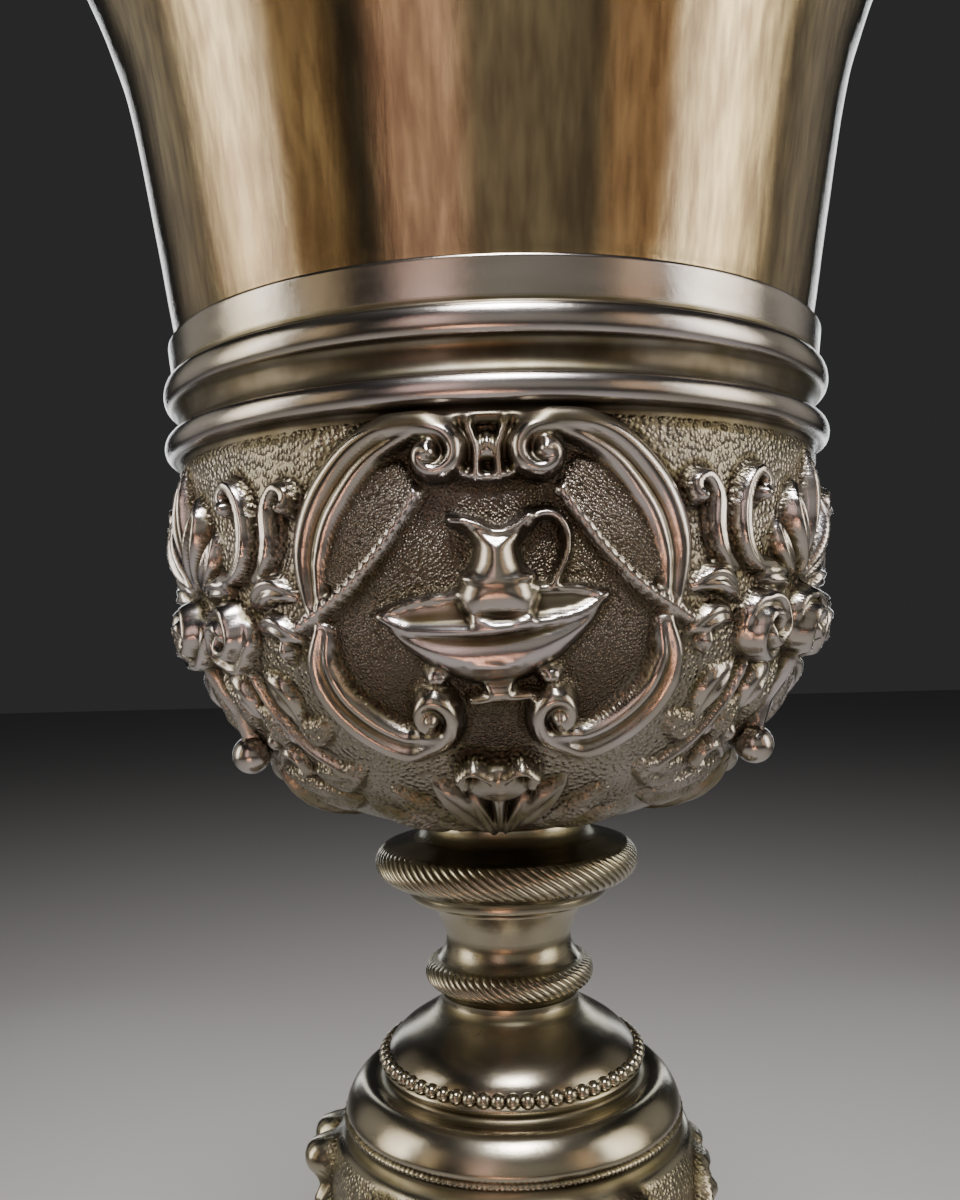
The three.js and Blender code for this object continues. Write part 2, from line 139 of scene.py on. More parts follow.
def shifted(points, dx, dy, lean):
    """Points leaned over by some degrees about the middle and then moved."""
    c, n = math.cos(math.radians(lean)), math.sin(math.radians(lean))
    return [(c * x - n * y + dx, n * x + c * y + dy) for x, y in points]


# Relief


class Relief:
    """Heights in millimetres over a grid: x runs round the piece and y up it. Where figures meet, the highest
    one counts. stipple is 1 on the bare ground and 0 on a figure. spread is the real width of a step of x in
    each row, so that a figure about the middle keeps its shape on a cone."""

    def __init__(self, x, y, spread=None):
        self.x, self.y = np.asarray(x, float), np.asarray(y, float)
        self.spread = np.ones(len(self.y)) if spread is None else spread
        self.middle = 0.0
        self.height = np.zeros((len(self.y), len(self.x)))
        self.stipple = np.ones_like(self.height)

    def window(self, points, margin):
        """The part of the grid within margin of the points, as its index and its real x and y."""
        p = np.asarray(points, float)
        low, high = p.min(axis=0) - margin, p.max(axis=0) + margin
        rows = np.flatnonzero((self.y >= low[1]) & (self.y <= high[1]))
        if not len(rows):
            return None, None, None
        wide = self.spread[rows].min()
        left, right = [self.middle + (edge - self.middle) / k for edge, k in (
            (low[0], wide if low[0] < self.middle else 1), (high[0], wide if high[0] > self.middle else 1))]
        cols = np.flatnonzero((self.x >= left) & (self.x <= right))
        if not len(cols):
            return None, None, None
        gx, gy = np.meshgrid(self.x[cols], self.y[rows])
        gx = self.middle + (gx - self.middle) * self.spread[rows][:, None]
        return np.ix_(rows, cols), gx, gy

    def raise_to(self, cut, height, smooth_ground=True):
        """Lifts a part of the grid up to height, and clears the stipple where a figure stands out of it."""
        now = self.height[cut]
        self.height[cut] = np.maximum(now, height)
        if smooth_ground:
            self.stipple[cut] = np.where(height > np.maximum(now, 0.12), 0.0, self.stipple[cut])

    def near(self, line, gx, gy):
        """Distance to a line, with its sign by the side, and the share of its length walked there."""
        best = np.full(gx.shape, 1e9)
        side = np.zeros(gx.shape)
        share = np.zeros(gx.shape)
        n = len(line) - 1
        for i in range(n):
            (x0, y0), (x1, y1) = line[i], line[i + 1]
            dx, dy = x1 - x0, y1 - y0
            u = np.clip(((gx - x0) * dx + (gy - y0) * dy) / max(dx * dx + dy * dy, 1e-9), 0, 1)
            ex, ey = gx - x0 - u * dx, gy - y0 - u * dy
            d = ex * ex + ey * ey
            closer = d < best
            best = np.where(closer, d, best)
            side = np.where(closer, np.sign(dx * ey - dy * ex), side)
            share = np.where(closer, (i + u) / n, share)
        return np.sqrt(best), side, share

    def strand(self, points, width, height, section="round", count=36, twist=0):
        """A moulding along a curve. width and height are half widths and heights at even stops along it. A
        round one's section is the root of 1 - q * q, with q the distance over the half width. A scroll has a
        wide and a narrow rib side by side, which run together in its curl. A fluted one has a groove along
        its top, and a bead one is a row of beads. With twist it is wound like a cord."""
        width, height = np.atleast_1d(width).astype(float), np.atleast_1d(height).astype(float)
        line = smooth(points, count) if len(points) > 2 else evenly(np.asarray(points, float), 4)
        cut, gx, gy = self.window(line, width.max())
        if cut is None:
            return
        d, side, share = self.near(line, gx, gy)
        w = np.interp(share, np.linspace(0, 1, len(width)), width)
        h = np.interp(share, np.linspace(0, 1, len(height)), height)
        q = np.clip(d / w, 0, 1)
        rise = np.sqrt(1 - q * q)
        if section in ("scroll", "scroll_left"):
            v = side * q * (1 if section == "scroll" else -1)
            ribs = [np.sqrt(np.clip(1 - ((v - c) / r) ** 2, 0, 1)) * k
                    for c, r, k in ((-0.38, 0.6, 1.0), (0.58, 0.4, 0.72))]
            curled = np.clip((share - 0.56) / 0.14, 0, 1)
            rise = rise * (0.3 + 0.7 * curled) + 0.7 * (1 - curled) * np.maximum.reduce(ribs)
        if section == "fluted":
            rise = rise**0.7 * (1 - 0.3 * np.exp(-((q / 0.32) ** 2)))
        if section == "bead":
            beads = np.abs(np.sin(math.pi * share * walk_along(line)[-1]))
            rise = rise * (0.45 + 0.55 * np.sqrt(beads))
        if twist:
            rise = rise * (0.75 + 0.25 * np.cos(TAU * (share * twist + 0.5 * side * q)))
        self.raise_to(cut, np.where(d < w, h * rise, 0))

    def blob(self, centre, rx, ry, height, power=0.5):
        """An oval boss: its height goes as 1 - q to a power, with q the squared distance over the radius."""
        cut, gx, gy = self.window([centre], max(rx, ry))
        if cut is None:
            return
        q = ((gx - centre[0]) / rx) ** 2 + ((gy - centre[1]) / ry) ** 2
        self.raise_to(cut, np.where(q < 1, height * np.clip(1 - q, 0, 1) ** power, 0))

    def plate(self, points, height, edge, tilt=0.0, grain=False):
        """A raised panel whose rim is a quarter round as wide as edge. tilt lifts it with y. With grain its
        top keeps the stippled ground."""
        p = np.asarray(points, float)
        cut, gx, gy = self.window(p, 0.0)
        if cut is None:
            return
        closed = np.vstack([p, p[:1]])
        d, _, _ = self.near(closed, gx, gy)
        inside = np.zeros(gx.shape, bool)
        for (x0, y0), (x1, y1) in zip(closed[:-1], closed[1:]):
            crosses = (y0 > gy) != (y1 > gy)
            inside ^= crosses & (gx < (x1 - x0) * (gy - y0) / (y1 - y0 + 1e-12) + x0)
        q = 1 - np.clip(d / edge, 0, 1)
        rise = height * np.sqrt(1 - q * q) + tilt * (gy - p[:, 1].mean())
        self.raise_to(cut, np.where(inside, rise, 0), not grain)

    def leaf(self, points, width, height, lobes=0, grain=False):
        """A leaf along a curve from its stalk to its tip. Its half width goes as a sine of the share walked
        and its section as the root of 1 - q cubed. It has a sunk vein and, with lobes, ribs and notches."""
        line = smooth(points, 16) if len(points) > 2 else evenly(np.asarray(points, float), 5)
        cut, gx, gy = self.window(line, width)
        if cut is None:
            return
        d, side, share = self.near(line, gx, gy)
        w = width * (np.sin(math.pi * np.clip(share * 0.93 + 0.07, 0, 1)) ** 0.8 + 0.04)
        q = np.clip(d / w, 0, 1)
        reach = 0.84 + 0.16 * np.abs(np.cos(math.pi * lobes * share)) ** 0.6 if lobes else 1.0
        vein = 1 - 0.45 * np.exp(-((d / (0.2 * width)) ** 2))
        bays = np.abs((lobes * share - 0.7 * q) % 1 - 0.5)
        ribs = 1 - (0.14 * np.exp(-((bays / 0.1) ** 2)) * q if lobes else 0)
        curl = 0.55 + 0.45 * np.sin(math.pi * np.clip(share, 0, 1)) + 0.25 * side * q * (1 - share)
        self.raise_to(cut, np.where(q < reach, height * np.sqrt(1 - q**3) * vein * ribs * curl, 0), not grain)

    def rose(self, centre, radius, height):
        """An open rose: a dome with a notched outline and a pit, on which the petals' lips wind in as two
        spirals: their phase is 2.3 times the radius, less twice the turn."""
        cut, gx, gy = self.window([centre], radius)
        if cut is None:
            return
        x, y = centre
        turn = np.arctan2(gy - y, gx - x)
        edge = radius * (0.9 + 0.1 * np.abs(np.cos(2.5 * turn)))
        q = np.clip(np.hypot(gx - x, gy - y) / edge, 0, 1)
        lip = (2.3 * q**0.85 - 2 * turn / TAU) % 1
        dome = (1 - q**2.2) ** 0.42
        rise = height * dome * (0.52 + 0.48 * np.sin(math.pi * lip**0.6))
        pit = height * 0.5 * np.exp(-((q / 0.13) ** 2))
        self.raise_to(cut, np.where(q < 1, np.clip(rise - pit, 0, None), 0))


def eased(height):
    """The heights after each is averaged with its neighbours, weighted 1, 2 and 1 along rows and columns."""
    for axis in (0, 1):
        before, after = np.roll(height, 1, axis), np.roll(height, -1, axis)
        ends = [slice(None), slice(None)]
        for end, other in ((0, before), (-1, after)):
            ends[axis] = end
            other[tuple(ends)] = height[tuple(ends)]
        height = (before + 2 * height + after) / 4
    return height


def sunk(height, reach):
    """How deep each place of a grid lies below the mean of what is within reach, which is taken twice."""
    mean = height
    for axis, n in ((0, reach), (1, reach), (0, reach), (1, reach)):
        pad = [(n, n) if axis == i else (0, 0) for i in (0, 1)]
        total = np.cumsum(np.pad(mean, pad, mode="edge"), axis=axis)
        total = np.insert(total, 0, 0, axis=axis)
        size = mean.shape[axis]
        high = np.take(total, np.arange(size) + 2 * n + 1, axis=axis)
        low = np.take(total, np.arange(size), axis=axis)
        mean = (high - low) / (2 * n + 1)
    return mean - height


# Meshes


def normals_of(line):
    """The normal at each point of a line of radius and height. It points out of the metal, because a line
    runs down the outside of a piece and up its inside."""
    way = np.gradient(line, axis=0)
    way /= np.maximum(np.linalg.norm(way, axis=1, keepdims=True), 1e-9)
    return np.stack([-way[:, 1], way[:, 0]], axis=1)


def soil_and_shade_of(line, rise, soiled_and_shaded):
    """Dirt and painted shade from 0 to 1: dirt in what lies sunk below its surroundings in the relief and in
    the creases of the line, which lie inside its running mean, and the rows given, which on the calyx also
    hold painted shade on its underside."""
    walked = walk_along(line)
    reach = max(2, int(0.9 / max(walked[-1] / len(line), 0.05)))
    hollow = np.clip(sunk(rise, reach) / 0.35, 0, 1)
    bent = running_mean(line, walked, 0.9) - line
    crease = np.clip((bent * normals_of(line)).sum(axis=1) / 0.16, 0, 1)
    dirt_and_shade = np.clip(hollow + crease[:, None], 0, 1)
    return dirt_and_shade if soiled_and_shaded is None else np.maximum(dirt_and_shade, soiled_and_shaded[:, None])


def running_mean(line, walked, span):
    """The line with each point moved to the mean of the line within span millimetres, but for its ends."""
    out = np.empty_like(line)
    for i, at in enumerate(walked):
        near = np.abs(walked - at) <= span
        weight = np.gradient(walked)[near]
        out[i] = (line[near] * weight[:, None]).sum(axis=0) / weight.sum()
    ends = np.minimum(walked, walked[-1] - walked) < span
    out[ends] = line[ends]
    return out


def turned(name, line, columns, rise=None, stipple=None, field=None, soiled_and_shaded=None, start=0.0, sweep=TAU,
           lead=None):
    """A surface turned about +Z: at turn w and line point (r, z) it stands rise millimetres off the line,
    along the line's normal. lead turns each row further round, so that strands run along the columns. Its
    dirt, into which painted shade is mixed, its stippled ground and its dark field are kept as attributes of
    its points."""
    whole = abs(sweep - TAU) < 1e-6
    w = start + sweep * (np.arange(columns) / columns if whole else np.linspace(0, 1, columns))
    w = w[None, :] + (0 if lead is None else lead[:, None])
    normal = normals_of(line)
    rows = len(line)
    rise = np.zeros((rows, columns)) if rise is None else rise
    radius = np.maximum(line[:, :1] + normal[:, :1] * rise, 0)
    z = line[:, 1:] + normal[:, 1:] * rise
    co = np.stack([radius * np.sin(w), -radius * np.cos(w), z], axis=2) * MM
    # A line that ends on the axis is closed with a fan to one point.
    index = np.arange(rows * columns).reshape(rows, columns)
    for end in (0, -1):
        if line[end, 0] < 1e-6:
            index[end] = index[end, 0]
    if whole:
        index = np.concatenate([index, index[:, :1]], axis=1)
    a, b, c, d = index[:-1, :-1], index[1:, :-1], index[1:, 1:], index[:-1, 1:]
    quads = np.stack([a, b, c, d], axis=2).reshape(-1, 4)
    flat_top = quads[:, 0] == quads[:, 3]
    flat_end = quads[:, 1] == quads[:, 2]
    square = ~flat_top & ~flat_end
    corners = np.concatenate([quads[square].ravel(), quads[flat_top][:, :3].ravel(),
                              quads[flat_end][:, [0, 1, 3]].ravel()])
    fours, threes = int(square.sum()), int((~square).sum())
    used, corners = np.unique(corners, return_inverse=True)
    mesh = bpy.data.meshes.new(name)
    mesh.vertices.add(len(used))
    mesh.vertices.foreach_set("co", co.reshape(-1, 3)[used].ravel())
    mesh.loops.add(len(corners))
    mesh.loops.foreach_set("vertex_index", corners.astype(np.int32))
    mesh.polygons.add(fours + threes)
    starts = np.concatenate([np.arange(fours) * 4, fours * 4 + np.arange(threes) * 3])
    mesh.polygons.foreach_set("loop_start", starts.astype(np.int32))
    mesh.polygons.foreach_set("use_smooth", np.ones(fours + threes, bool))
    mesh.update(calc_edges=True)
    for key, values in (("dirt_and_shade", soil_and_shade_of(line, rise, soiled_and_shaded)), ("stipple", stipple), ("field", field)):
        keep(mesh, key, (np.zeros_like(rise) if values is None else values).ravel()[used])
    return placed(name, mesh)


def keep(mesh, name, values):
    """Gives each point of a mesh its value of an attribute."""
    mesh.attributes.new(name, "FLOAT", "POINT").data.foreach_set("value", np.asarray(values, np.float32))


def placed(name, mesh):
    """A new object at the origin with this mesh."""
    obj = bpy.data.objects.new(name, mesh)
    bpy.context.scene.collection.objects.link(obj)
    return obj


def balls(name, centres, radius, around, rows):
    """Beads: points at sin(t) cos(w), sin(t) sin(w) and cos(t) of the radius from each centre, in rows steps
    of t from pole to pole and around steps of w."""
    t = np.linspace(0, math.pi, rows + 1)[1:-1]
    w = np.arange(around) / around * TAU
    ring = np.stack([np.outer(np.sin(t), np.cos(w)), np.outer(np.sin(t), np.sin(w)),
                     np.repeat(np.cos(t)[:, None], around, 1)], axis=2).reshape(-1, 3)
    unit = np.vstack([[0, 0, 1], ring, [0, 0, -1]])
    last = len(unit) - 1
    faces = [(0, 1 + k, 1 + (k + 1) % around) for k in range(around)]
    for i in range(rows - 2):
        for k in range(around):
            a, b = 1 + i * around + k, 1 + i * around + (k + 1) % around
            faces.append((a, a + around, b + around, b))
    foot = 1 + (rows - 2) * around
    faces += [(last, foot + (k + 1) % around, foot + k) for k in range(around)]
    verts, shells = [], []
    for i, centre in enumerate(centres):
        verts.append((np.asarray(centre) + unit * radius) * MM)
        shells += [tuple(v + i * len(unit) for v in f) for f in faces]
    mesh = bpy.data.meshes.new(name)
    mesh.from_pydata(np.vstack(verts).tolist(), [], shells)
    mesh.polygons.foreach_set("use_smooth", np.ones(len(shells), bool))
    for key in ("dirt_and_shade", "stipple", "field"):
        keep(mesh, key, np.zeros(len(mesh.vertices)))
    return placed(name, mesh)


def round_at(turn, radius, z):
    """The point at a turn from the front, a radius and a height."""
    return (radius * math.sin(turn), -radius * math.cos(turn), z)


def roped(line, columns, strands, low, high, depth, slant):
    """Strands side by side between two heights of a line, each with a half circle for its section. They run
    along the columns, and the rows are led round by slant of a turn from low to high. Gives the heights and
    the lead of each row."""
    w = np.arange(columns) / columns
    share = np.clip((line[:, 1] - low) / (high - low), 0, 1)
    wave = (strands * w) % 1 * 2 - 1
    fade = np.clip(np.sin(math.pi * share) * 2.2, 0, 1) * (line[:, 0] > line[:, 0].max() * 0.85)
    return depth * (np.sqrt(1 - wave**2) - 1)[None, :] * fade[:, None], -slant * TAU * share


# Materials


def new_material(name):
    """A new material, its node tree and its shader."""
    mat = bpy.data.materials.new(name)
    mat.use_nodes = True
    tree = mat.node_tree
    return mat, tree, tree.nodes["Principled BSDF"]


def add_node(tree, kind, inputs=None, **settings):
    """A node with its settings. Each of its inputs gets a value or a link from another node's output."""
    made = tree.nodes.new(kind)
    for key, value in settings.items():
        setattr(made, key, value)
    for key, value in (inputs or {}).items():
        if isinstance(value, bpy.types.NodeSocket):
            tree.links.new(value, made.inputs[key])
        else:
            made.inputs[key].default_value = value
    return made


def noise_of(tree, vector, scale, detail=3.0, rough=0.5):
    """Noise from 0 to 1 at a place."""
    inputs = {"Vector": vector, "Scale": scale, "Detail": detail, "Roughness": rough}
    return add_node(tree, "ShaderNodeTexNoise", inputs).outputs["Fac"]


def grains_of(tree, vector, scale, high):
    """Round grains of the height high, one for each cell of that scale."""
    cells = add_node(tree, "ShaderNodeTexVoronoi", {"Vector": vector, "Scale": scale})
    return ranged(tree, cells.outputs["Distance"], 0.7, 0.1, 0.0, high)


def ranged(tree, value, low, high, to_low=0.0, to_high=1.0):
    """A value brought from the range of low to high into another one, and held within it."""
    inputs = {"Value": value, "From Min": low, "From Max": high, "To Min": to_low, "To Max": to_high}
    return add_node(tree, "ShaderNodeMapRange", inputs).outputs["Result"]


def mixed(tree, factor, first, second):
    """A colour between two by a factor. The sockets of colours are numbers 6 and 7 of the node."""
    return add_node(tree, "ShaderNodeMix", {0: factor, 6: first, 7: second}, data_type="RGBA").outputs[2]


def joined(tree, a, b, operation="MULTIPLY"):
    """Two values multiplied, or joined by another operation, and held between 0 and 1."""
    return add_node(tree, "ShaderNodeMath", {0: a, 1: b}, operation=operation, use_clamp=True).outputs[0]


def worn_metal(name, bright, warm, soil_and_shade, dark, rough, dents, scored, streak, scratch):
    """Old metal: clouds and smears of a warmer tone on the bright one, brown soil in the hollows that turns
    dark where it is deep, the same brown laid on as painted shade where the dirt values hold shade, a
    punched ground under soil, fine scratches along the turning, and a roughness about rough that follows
    them. dents and scored are strengths of bumps. streak and scratch stretch the smears and the scratches:
    along an axis with a small number they are long."""
    mat, tree, bsdf = new_material(name)
    place = add_node(tree, "ShaderNodeTexCoord").outputs["Object"]
    drawn = add_node(tree, "ShaderNodeMapping", {"Vector": place, "Scale": streak}).outputs["Vector"]
    along = add_node(tree, "ShaderNodeMapping", {"Vector": place, "Scale": scratch}).outputs["Vector"]
    dirt_and_shade, punched, field = [add_node(tree, "ShaderNodeAttribute", attribute_name=kept).outputs["Fac"]
                            for kept in ("dirt_and_shade", "stipple", "field")]
    clouds = ranged(tree, noise_of(tree, place, 38.0), 0.32, 0.72)
    smears = ranged(tree, noise_of(tree, drawn, 34.0, 2.0), 0.36, 0.66)
    patchy = ranged(tree, noise_of(tree, place, 170.0), 0.25, 0.65, 0.5, 1.0)
    grains = mixed(tree, field, grains_of(tree, place, 1900.0, 1.0), grains_of(tree, place, 3900.0, 0.8))
    grains = joined(tree, grains, punched)

    body = mixed(tree, joined(tree, clouds, 0.8), bright, warm)
    body = mixed(tree, joined(tree, smears, 0.8), body, warm)
    ground = joined(tree, joined(tree, punched, 0.66), joined(tree, grains, 0.36), "SUBTRACT")
    # The shallow soil colour is also painted shade where the dirt values hold the calyx's underside shade.
    shallow = joined(tree, joined(tree, ranged(tree, dirt_and_shade, 0.03, 0.4), patchy), ground, "MAXIMUM")
    deep = joined(tree, ranged(tree, dirt_and_shade, 0.4, 1.0, 0.0, 0.9), patchy)
    deep = joined(tree, deep, joined(tree, field, 0.68), "MAXIMUM")
    uneven = ranged(tree, noise_of(tree, drawn, 90.0), 0.25, 0.75, rough * 0.75, rough * 1.35)

    bsdf.inputs["Metallic"].default_value = 1.0
    tree.links.new(mixed(tree, deep, mixed(tree, shallow, body, soil_and_shade), dark), bsdf.inputs["Base Color"])
    tree.links.new(joined(tree, uneven, joined(tree, shallow, 0.2), "ADD"), bsdf.inputs["Roughness"])
    normal = None
    for height, strength, reach in ((noise_of(tree, along, 300.0, 9.0, 0.85), scored, 0.0002),
                                    (noise_of(tree, place, 60.0, rough=0.6), dents, 0.0006),
                                    (grains, 0.75, 0.00016)):
        inputs = {"Height": height, "Strength": strength, "Distance": reach}
        if normal:
            inputs["Normal"] = normal
        normal = add_node(tree, "ShaderNodeBump", inputs).outputs["Normal"]
    tree.links.new(normal, bsdf.inputs["Normal"])
    return mat


# The carving of each piece


def medallion_frame(relief):
    """The round frame: two C-scrolls above and two below, panels with beaded edges, and a bridge on top."""
    upper = [(17.1, 2.6), (17.2, 6.6), (16.1, 10.4), (14.0, 13.6), (11.4, 16.2), (8.6, 17.6), (5.8, 18.1)]
    upper += spiral((4.6, 15.6), 100, 330, 2.25, 0.75)
    lower = [(16.6, 0.2), (17.4, -2.8), (16.6, -5.8), (14.6, -8.1), (12.0, -9.7), (9.4, -10.4), (7.2, -9.9)]
    lower += spiral((6.3, -7.2), 265, -335, 2.45, 0.75)
    edge = [(6.2, 12.6), (7.8, 10.2), (10.6, 6.8), (14.2, 3.6), (18.9, 0.9)]
    panel = edge[:-1] + [(16.6, 4.6), (16.0, 9.0), (13.2, 12.8), (10.2, 14.9), (7.8, 15.4)]
    for hand, kinds in ((1, ("scroll", "scroll_left")), (-1, ("scroll_left", "scroll"))):
        def at(points):
            return about(0, hand, points)
        relief.plate(at(panel), 0.7, 0.5, grain=True)
        relief.strand(at(edge), [0.45, 0.6, 0.85], [1.1, 1.3, 1.7], "bead", 30)
        relief.strand(at(upper), [1.3, 2.1, 2.3, 2.0, 1.35, 1.1, 1.0], [1.3, 1.9, 2.1, 2.2, 2.5, 2.8, 3.1],
                      kinds[0], 72)
        relief.strand(at(lower), [1.1, 2.0, 2.0, 1.7, 1.3, 1.05, 0.95], [1.2, 1.9, 2.0, 2.0, 2.2, 2.5, 2.8],
                      kinds[1], 72)
        relief.blob(*at([(4.75, 15.7)]), 0.95, 0.95, 3.5)
        relief.blob(*at([(6.2, -7.2)]), 1.0, 1.0, 3.1)
        relief.strand(at([(1.0, 13.4), (1.0, 16.0), (1.6, 18.2)]), 0.5, 1.6)
        relief.blob(*at([(5.4, -3.9)]), 1.3, 0.9, 1.8)
    relief.strand([(-4.4, 18.5), (0, 18.9), (4.4, 18.5)], 0.75, 1.3)
    relief.strand([(-2.4, 13.9), (0, 13.5), (2.4, 13.9)], 0.5, 1.2)
    relief.blob((0, 16.2), 0.75, 1.5, 1.5, 0.8)


def ewer_and_basin(relief):
    """A wide basin seen a little from above, and a ewer in it with its spout at the left and its handle at
    the right. The basin's lips are half ellipses, and its underside is one of a power of 1.9."""

    def basin(*points):
        return shifted(points, 0.15, 0.2, 4.0)

    def ewer(*points):
        return shifted(points, 1.1, 0.2, 1.0)

    def between(upper, lower):
        return basin(*zip(x, upper), *zip(x[::-1], lower[::-1]))

    half = 10.3
    x = np.linspace(-half, half, 25)
    dip = np.sqrt(1 - (x / half) ** 2)
    front, back = 2.1 - 1.9 * dip, 2.1 + 1.2 * dip
    underside = 2.0 - 7.2 * (1 - np.abs(x / half) ** 1.9) ** 0.8
    relief.plate(between(front, underside), 2.7, 3.6, tilt=0.15)
    relief.plate(between(back, front), 1.2, 0.8, tilt=-0.12)
    relief.strand(basin(*zip(x, front))[::3], [0.5, 0.7, 0.5], [1.8, 3.0, 1.8])
    relief.strand(basin(*zip(x, back))[::3], [0.4, 0.42, 0.4], [1.6, 2.0, 1.6])
    relief.strand(basin((-7.0, -1.2), (0, -2.9), (7.0, -1.2)), 0.3, [1.6, 2.9, 1.6])
    relief.plate(basin((-1.8, -4.4), (1.8, -4.4), (1.4, -5.2), (3.4, -5.8), (3.4, -6.5), (-3.4, -6.5),
                       (-3.4, -5.8), (-1.4, -5.2)), 2.0, 0.9)
    relief.plate(ewer((-2.8, 0.6), (-3.9, 1.6), (-4.2, 3.0), (-3.6, 4.6), (-2.6, 6.0), (-2.4, 7.2),
                      (-2.9, 8.3), (-4.6, 9.3), (-4.7, 10.0), (-3.0, 10.1), (-1.8, 9.4), (-0.6, 8.8),
                      (0.6, 8.8), (1.7, 9.4), (2.7, 10.0), (2.3, 8.6), (1.6, 7.0), (1.8, 5.8), (2.8, 4.4),
                      (3.3, 2.8), (2.9, 1.4), (2.0, 0.6)), 3.2, 2.8)
    relief.strand(ewer((2.4, 8.8), (3.4, 9.9), (4.7, 9.8), (5.7, 8.4), (5.7, 6.4), (4.9, 4.6), (4.3, 3.4)),
                  0.45, 1.8)
    relief.strand(ewer((-3.4, 4.5), (-0.4, 4.1), (2.6, 4.5)), 0.3, 3.4)
    relief.strand(ewer((-4.4, 9.7), (-2.4, 9.4), (-0.4, 8.5), (1.3, 8.9), (2.6, 9.9)), 0.36, 2.7)
    relief.strand(ewer((-2.6, 1.0), (0, 0.6), (2.4, 1.0)), 0.4, 3.0)


def cross_on_rays(relief):
    """A plain cross on short rays, for the two medallions at the back."""
    for k in range(12):
        w = TAU * k / 12
        ray = [(reach * math.cos(w), 2.6 + reach * math.sin(w)) for reach in (3.2, 6.2 if k % 2 else 7.6)]
        relief.leaf(ray, 0.6, 1.1)
    relief.plate([(-1.1, -4), (1.1, -4), (1.1, 3), (4.6, 3), (4.6, 5.2), (1.1, 5.2), (1.1, 9.4), (-1.1, 9.4),
                  (-1.1, 5.2), (-4.6, 5.2), (-4.6, 3), (-1.1, 3)], 2.0, 0.7)


def garland(relief, axis):
    """Between two medallions: hooked scrolls, a lily, three roses, leaves and a berry on its stalk."""
    hook = [(-14.4, 5.4), (-16.2, 6.8), (-17.0, 9.2), (-17.1, 12.0), (-18.3, 13.8), (-19.8, 13.2),
            (-19.5, 11.7)]
    curl = [(-8.6, 5.8), (-11.3, 5.8), (-13.2, 7.6), (-13.8, 10.8), (-13.1, 13.6), (-11.6, 14.8),
            (-10.4, 13.6), (-11.2, 12.3)]
    for hand in (1, -1):
        def at(points):
            return about(axis, hand, points)
        relief.strand(at(hook), [0.6, 0.75, 0.8, 0.75, 0.7, 0.65], [1.2, 1.9, 2.0, 2.1, 2.2, 2.2],
                      "fluted", 40)
        relief.blob(*at([(-19.3, 11.9)]), 0.85, 0.85, 2.4)
        relief.strand(at(curl), [0.65, 0.8, 0.85, 0.8, 0.75, 0.7], [1.4, 2.0, 2.1, 2.2, 2.3, 2.3],
                      "fluted", 44)
        relief.blob(*at([(-11.3, 12.6)]), 0.9, 0.9, 2.5)
        for leaf, wide, high in (
            ([(-1.2, 5.4), (-3.6, 8.6), (-4.8, 12.0), (-3.4, 14.6)], 1.5, 2.4),
            ([(-3.2, 5.0), (-6.4, 7.2), (-7.4, 10.6)], 1.2, 1.7),
            ([(-13.6, 2.8), (-16.6, 4.4), (-19.6, 3.4)], 1.3, 1.7),
            ([(-14.0, 0.6), (-16.6, 1.0), (-19.6, -0.8)], 1.1, 1.5),
        ):
            relief.leaf(at(leaf), wide, high)
        relief.plate(at([(-17.4, 0.2), (-16.4, -1.4), (-17.4, -3.0), (-18.6, -1.4)]), 1.4, 0.9)
        relief.rose(*at([(-9.2, 0.0)]), 3.9, 3.1)
        for leaf, wide, high, grain in (
            ([(-5.2, -4.4), (-7.4, -6.0), (-7.9, -8.9)], 1.8, 1.4, False),
            ([(-2.6, -4.6), (-4.4, -7.2), (-3.8, -10.2)], 1.5, 1.1, True),
            ([(-8.0, -7.4), (-10.0, -9.0), (-9.6, -12.0)], 1.6, 1.2, True),
            ([(-12.6, -4.2), (-14.8, -6.2), (-15.2, -9.0)], 1.7, 1.1, False),
            ([(-14.0, -8.6), (-16.6, -9.8), (-19.4, -8.8)], 1.5, 1.0, True),
        ):
            relief.leaf(at(leaf), wide, high, 3, grain)
        relief.blob(*at([(-12.0, -10.2)]), 0.8, 1.1, 0.7)
        relief.blob(*at([(-5.8, -11.4)]), 1.0, 0.8, 0.8)
        relief.strand(at([(-10.4, -3.8), (-11.4, -7.6), (-14.4, -11.6), (-19.4, -14.4)]),
                      [0.35, 0.5, 0.4], 0.9)
        relief.strand(at([(-6.4, -13.2), (-8.8, -12.0), (-10.8, -12.6), (-10.6, -14.2), (-9.2, -14.0)]),
                      0.5, 1.3)
        relief.leaf(at([(-2.2, -14.8), (-8.6, -16.8), (-16.8, -17.4)]), 1.9, 1.1, 4, grain=True)
        relief.leaf(at([(-11.6, -14.4), (-16.4, -14.8), (-21.6, -13.6)]), 1.5, 1.0, 3, grain=True)
        relief.leaf(at([(-5.2, 3.8), (-7.6, 4.8), (-10.6, 4.2)]), 1.1, 1.9)
    relief.leaf([(axis, 7.0), (axis, 13.0), (axis, 18.2)], 1.5, 2.2)
    relief.rose((axis, 0.4), 3.8, 3.5)
    relief.strand([(axis, -3.6), (axis + 0.4, -8.0), (axis, -12.4)], [1.0, 0.8, 1.0], [1.4, 0.9, 2.0])
    relief.leaf([(axis, -14.6), (axis, -17.4), (axis, -20.6)], 2.0, 1.5, 4)


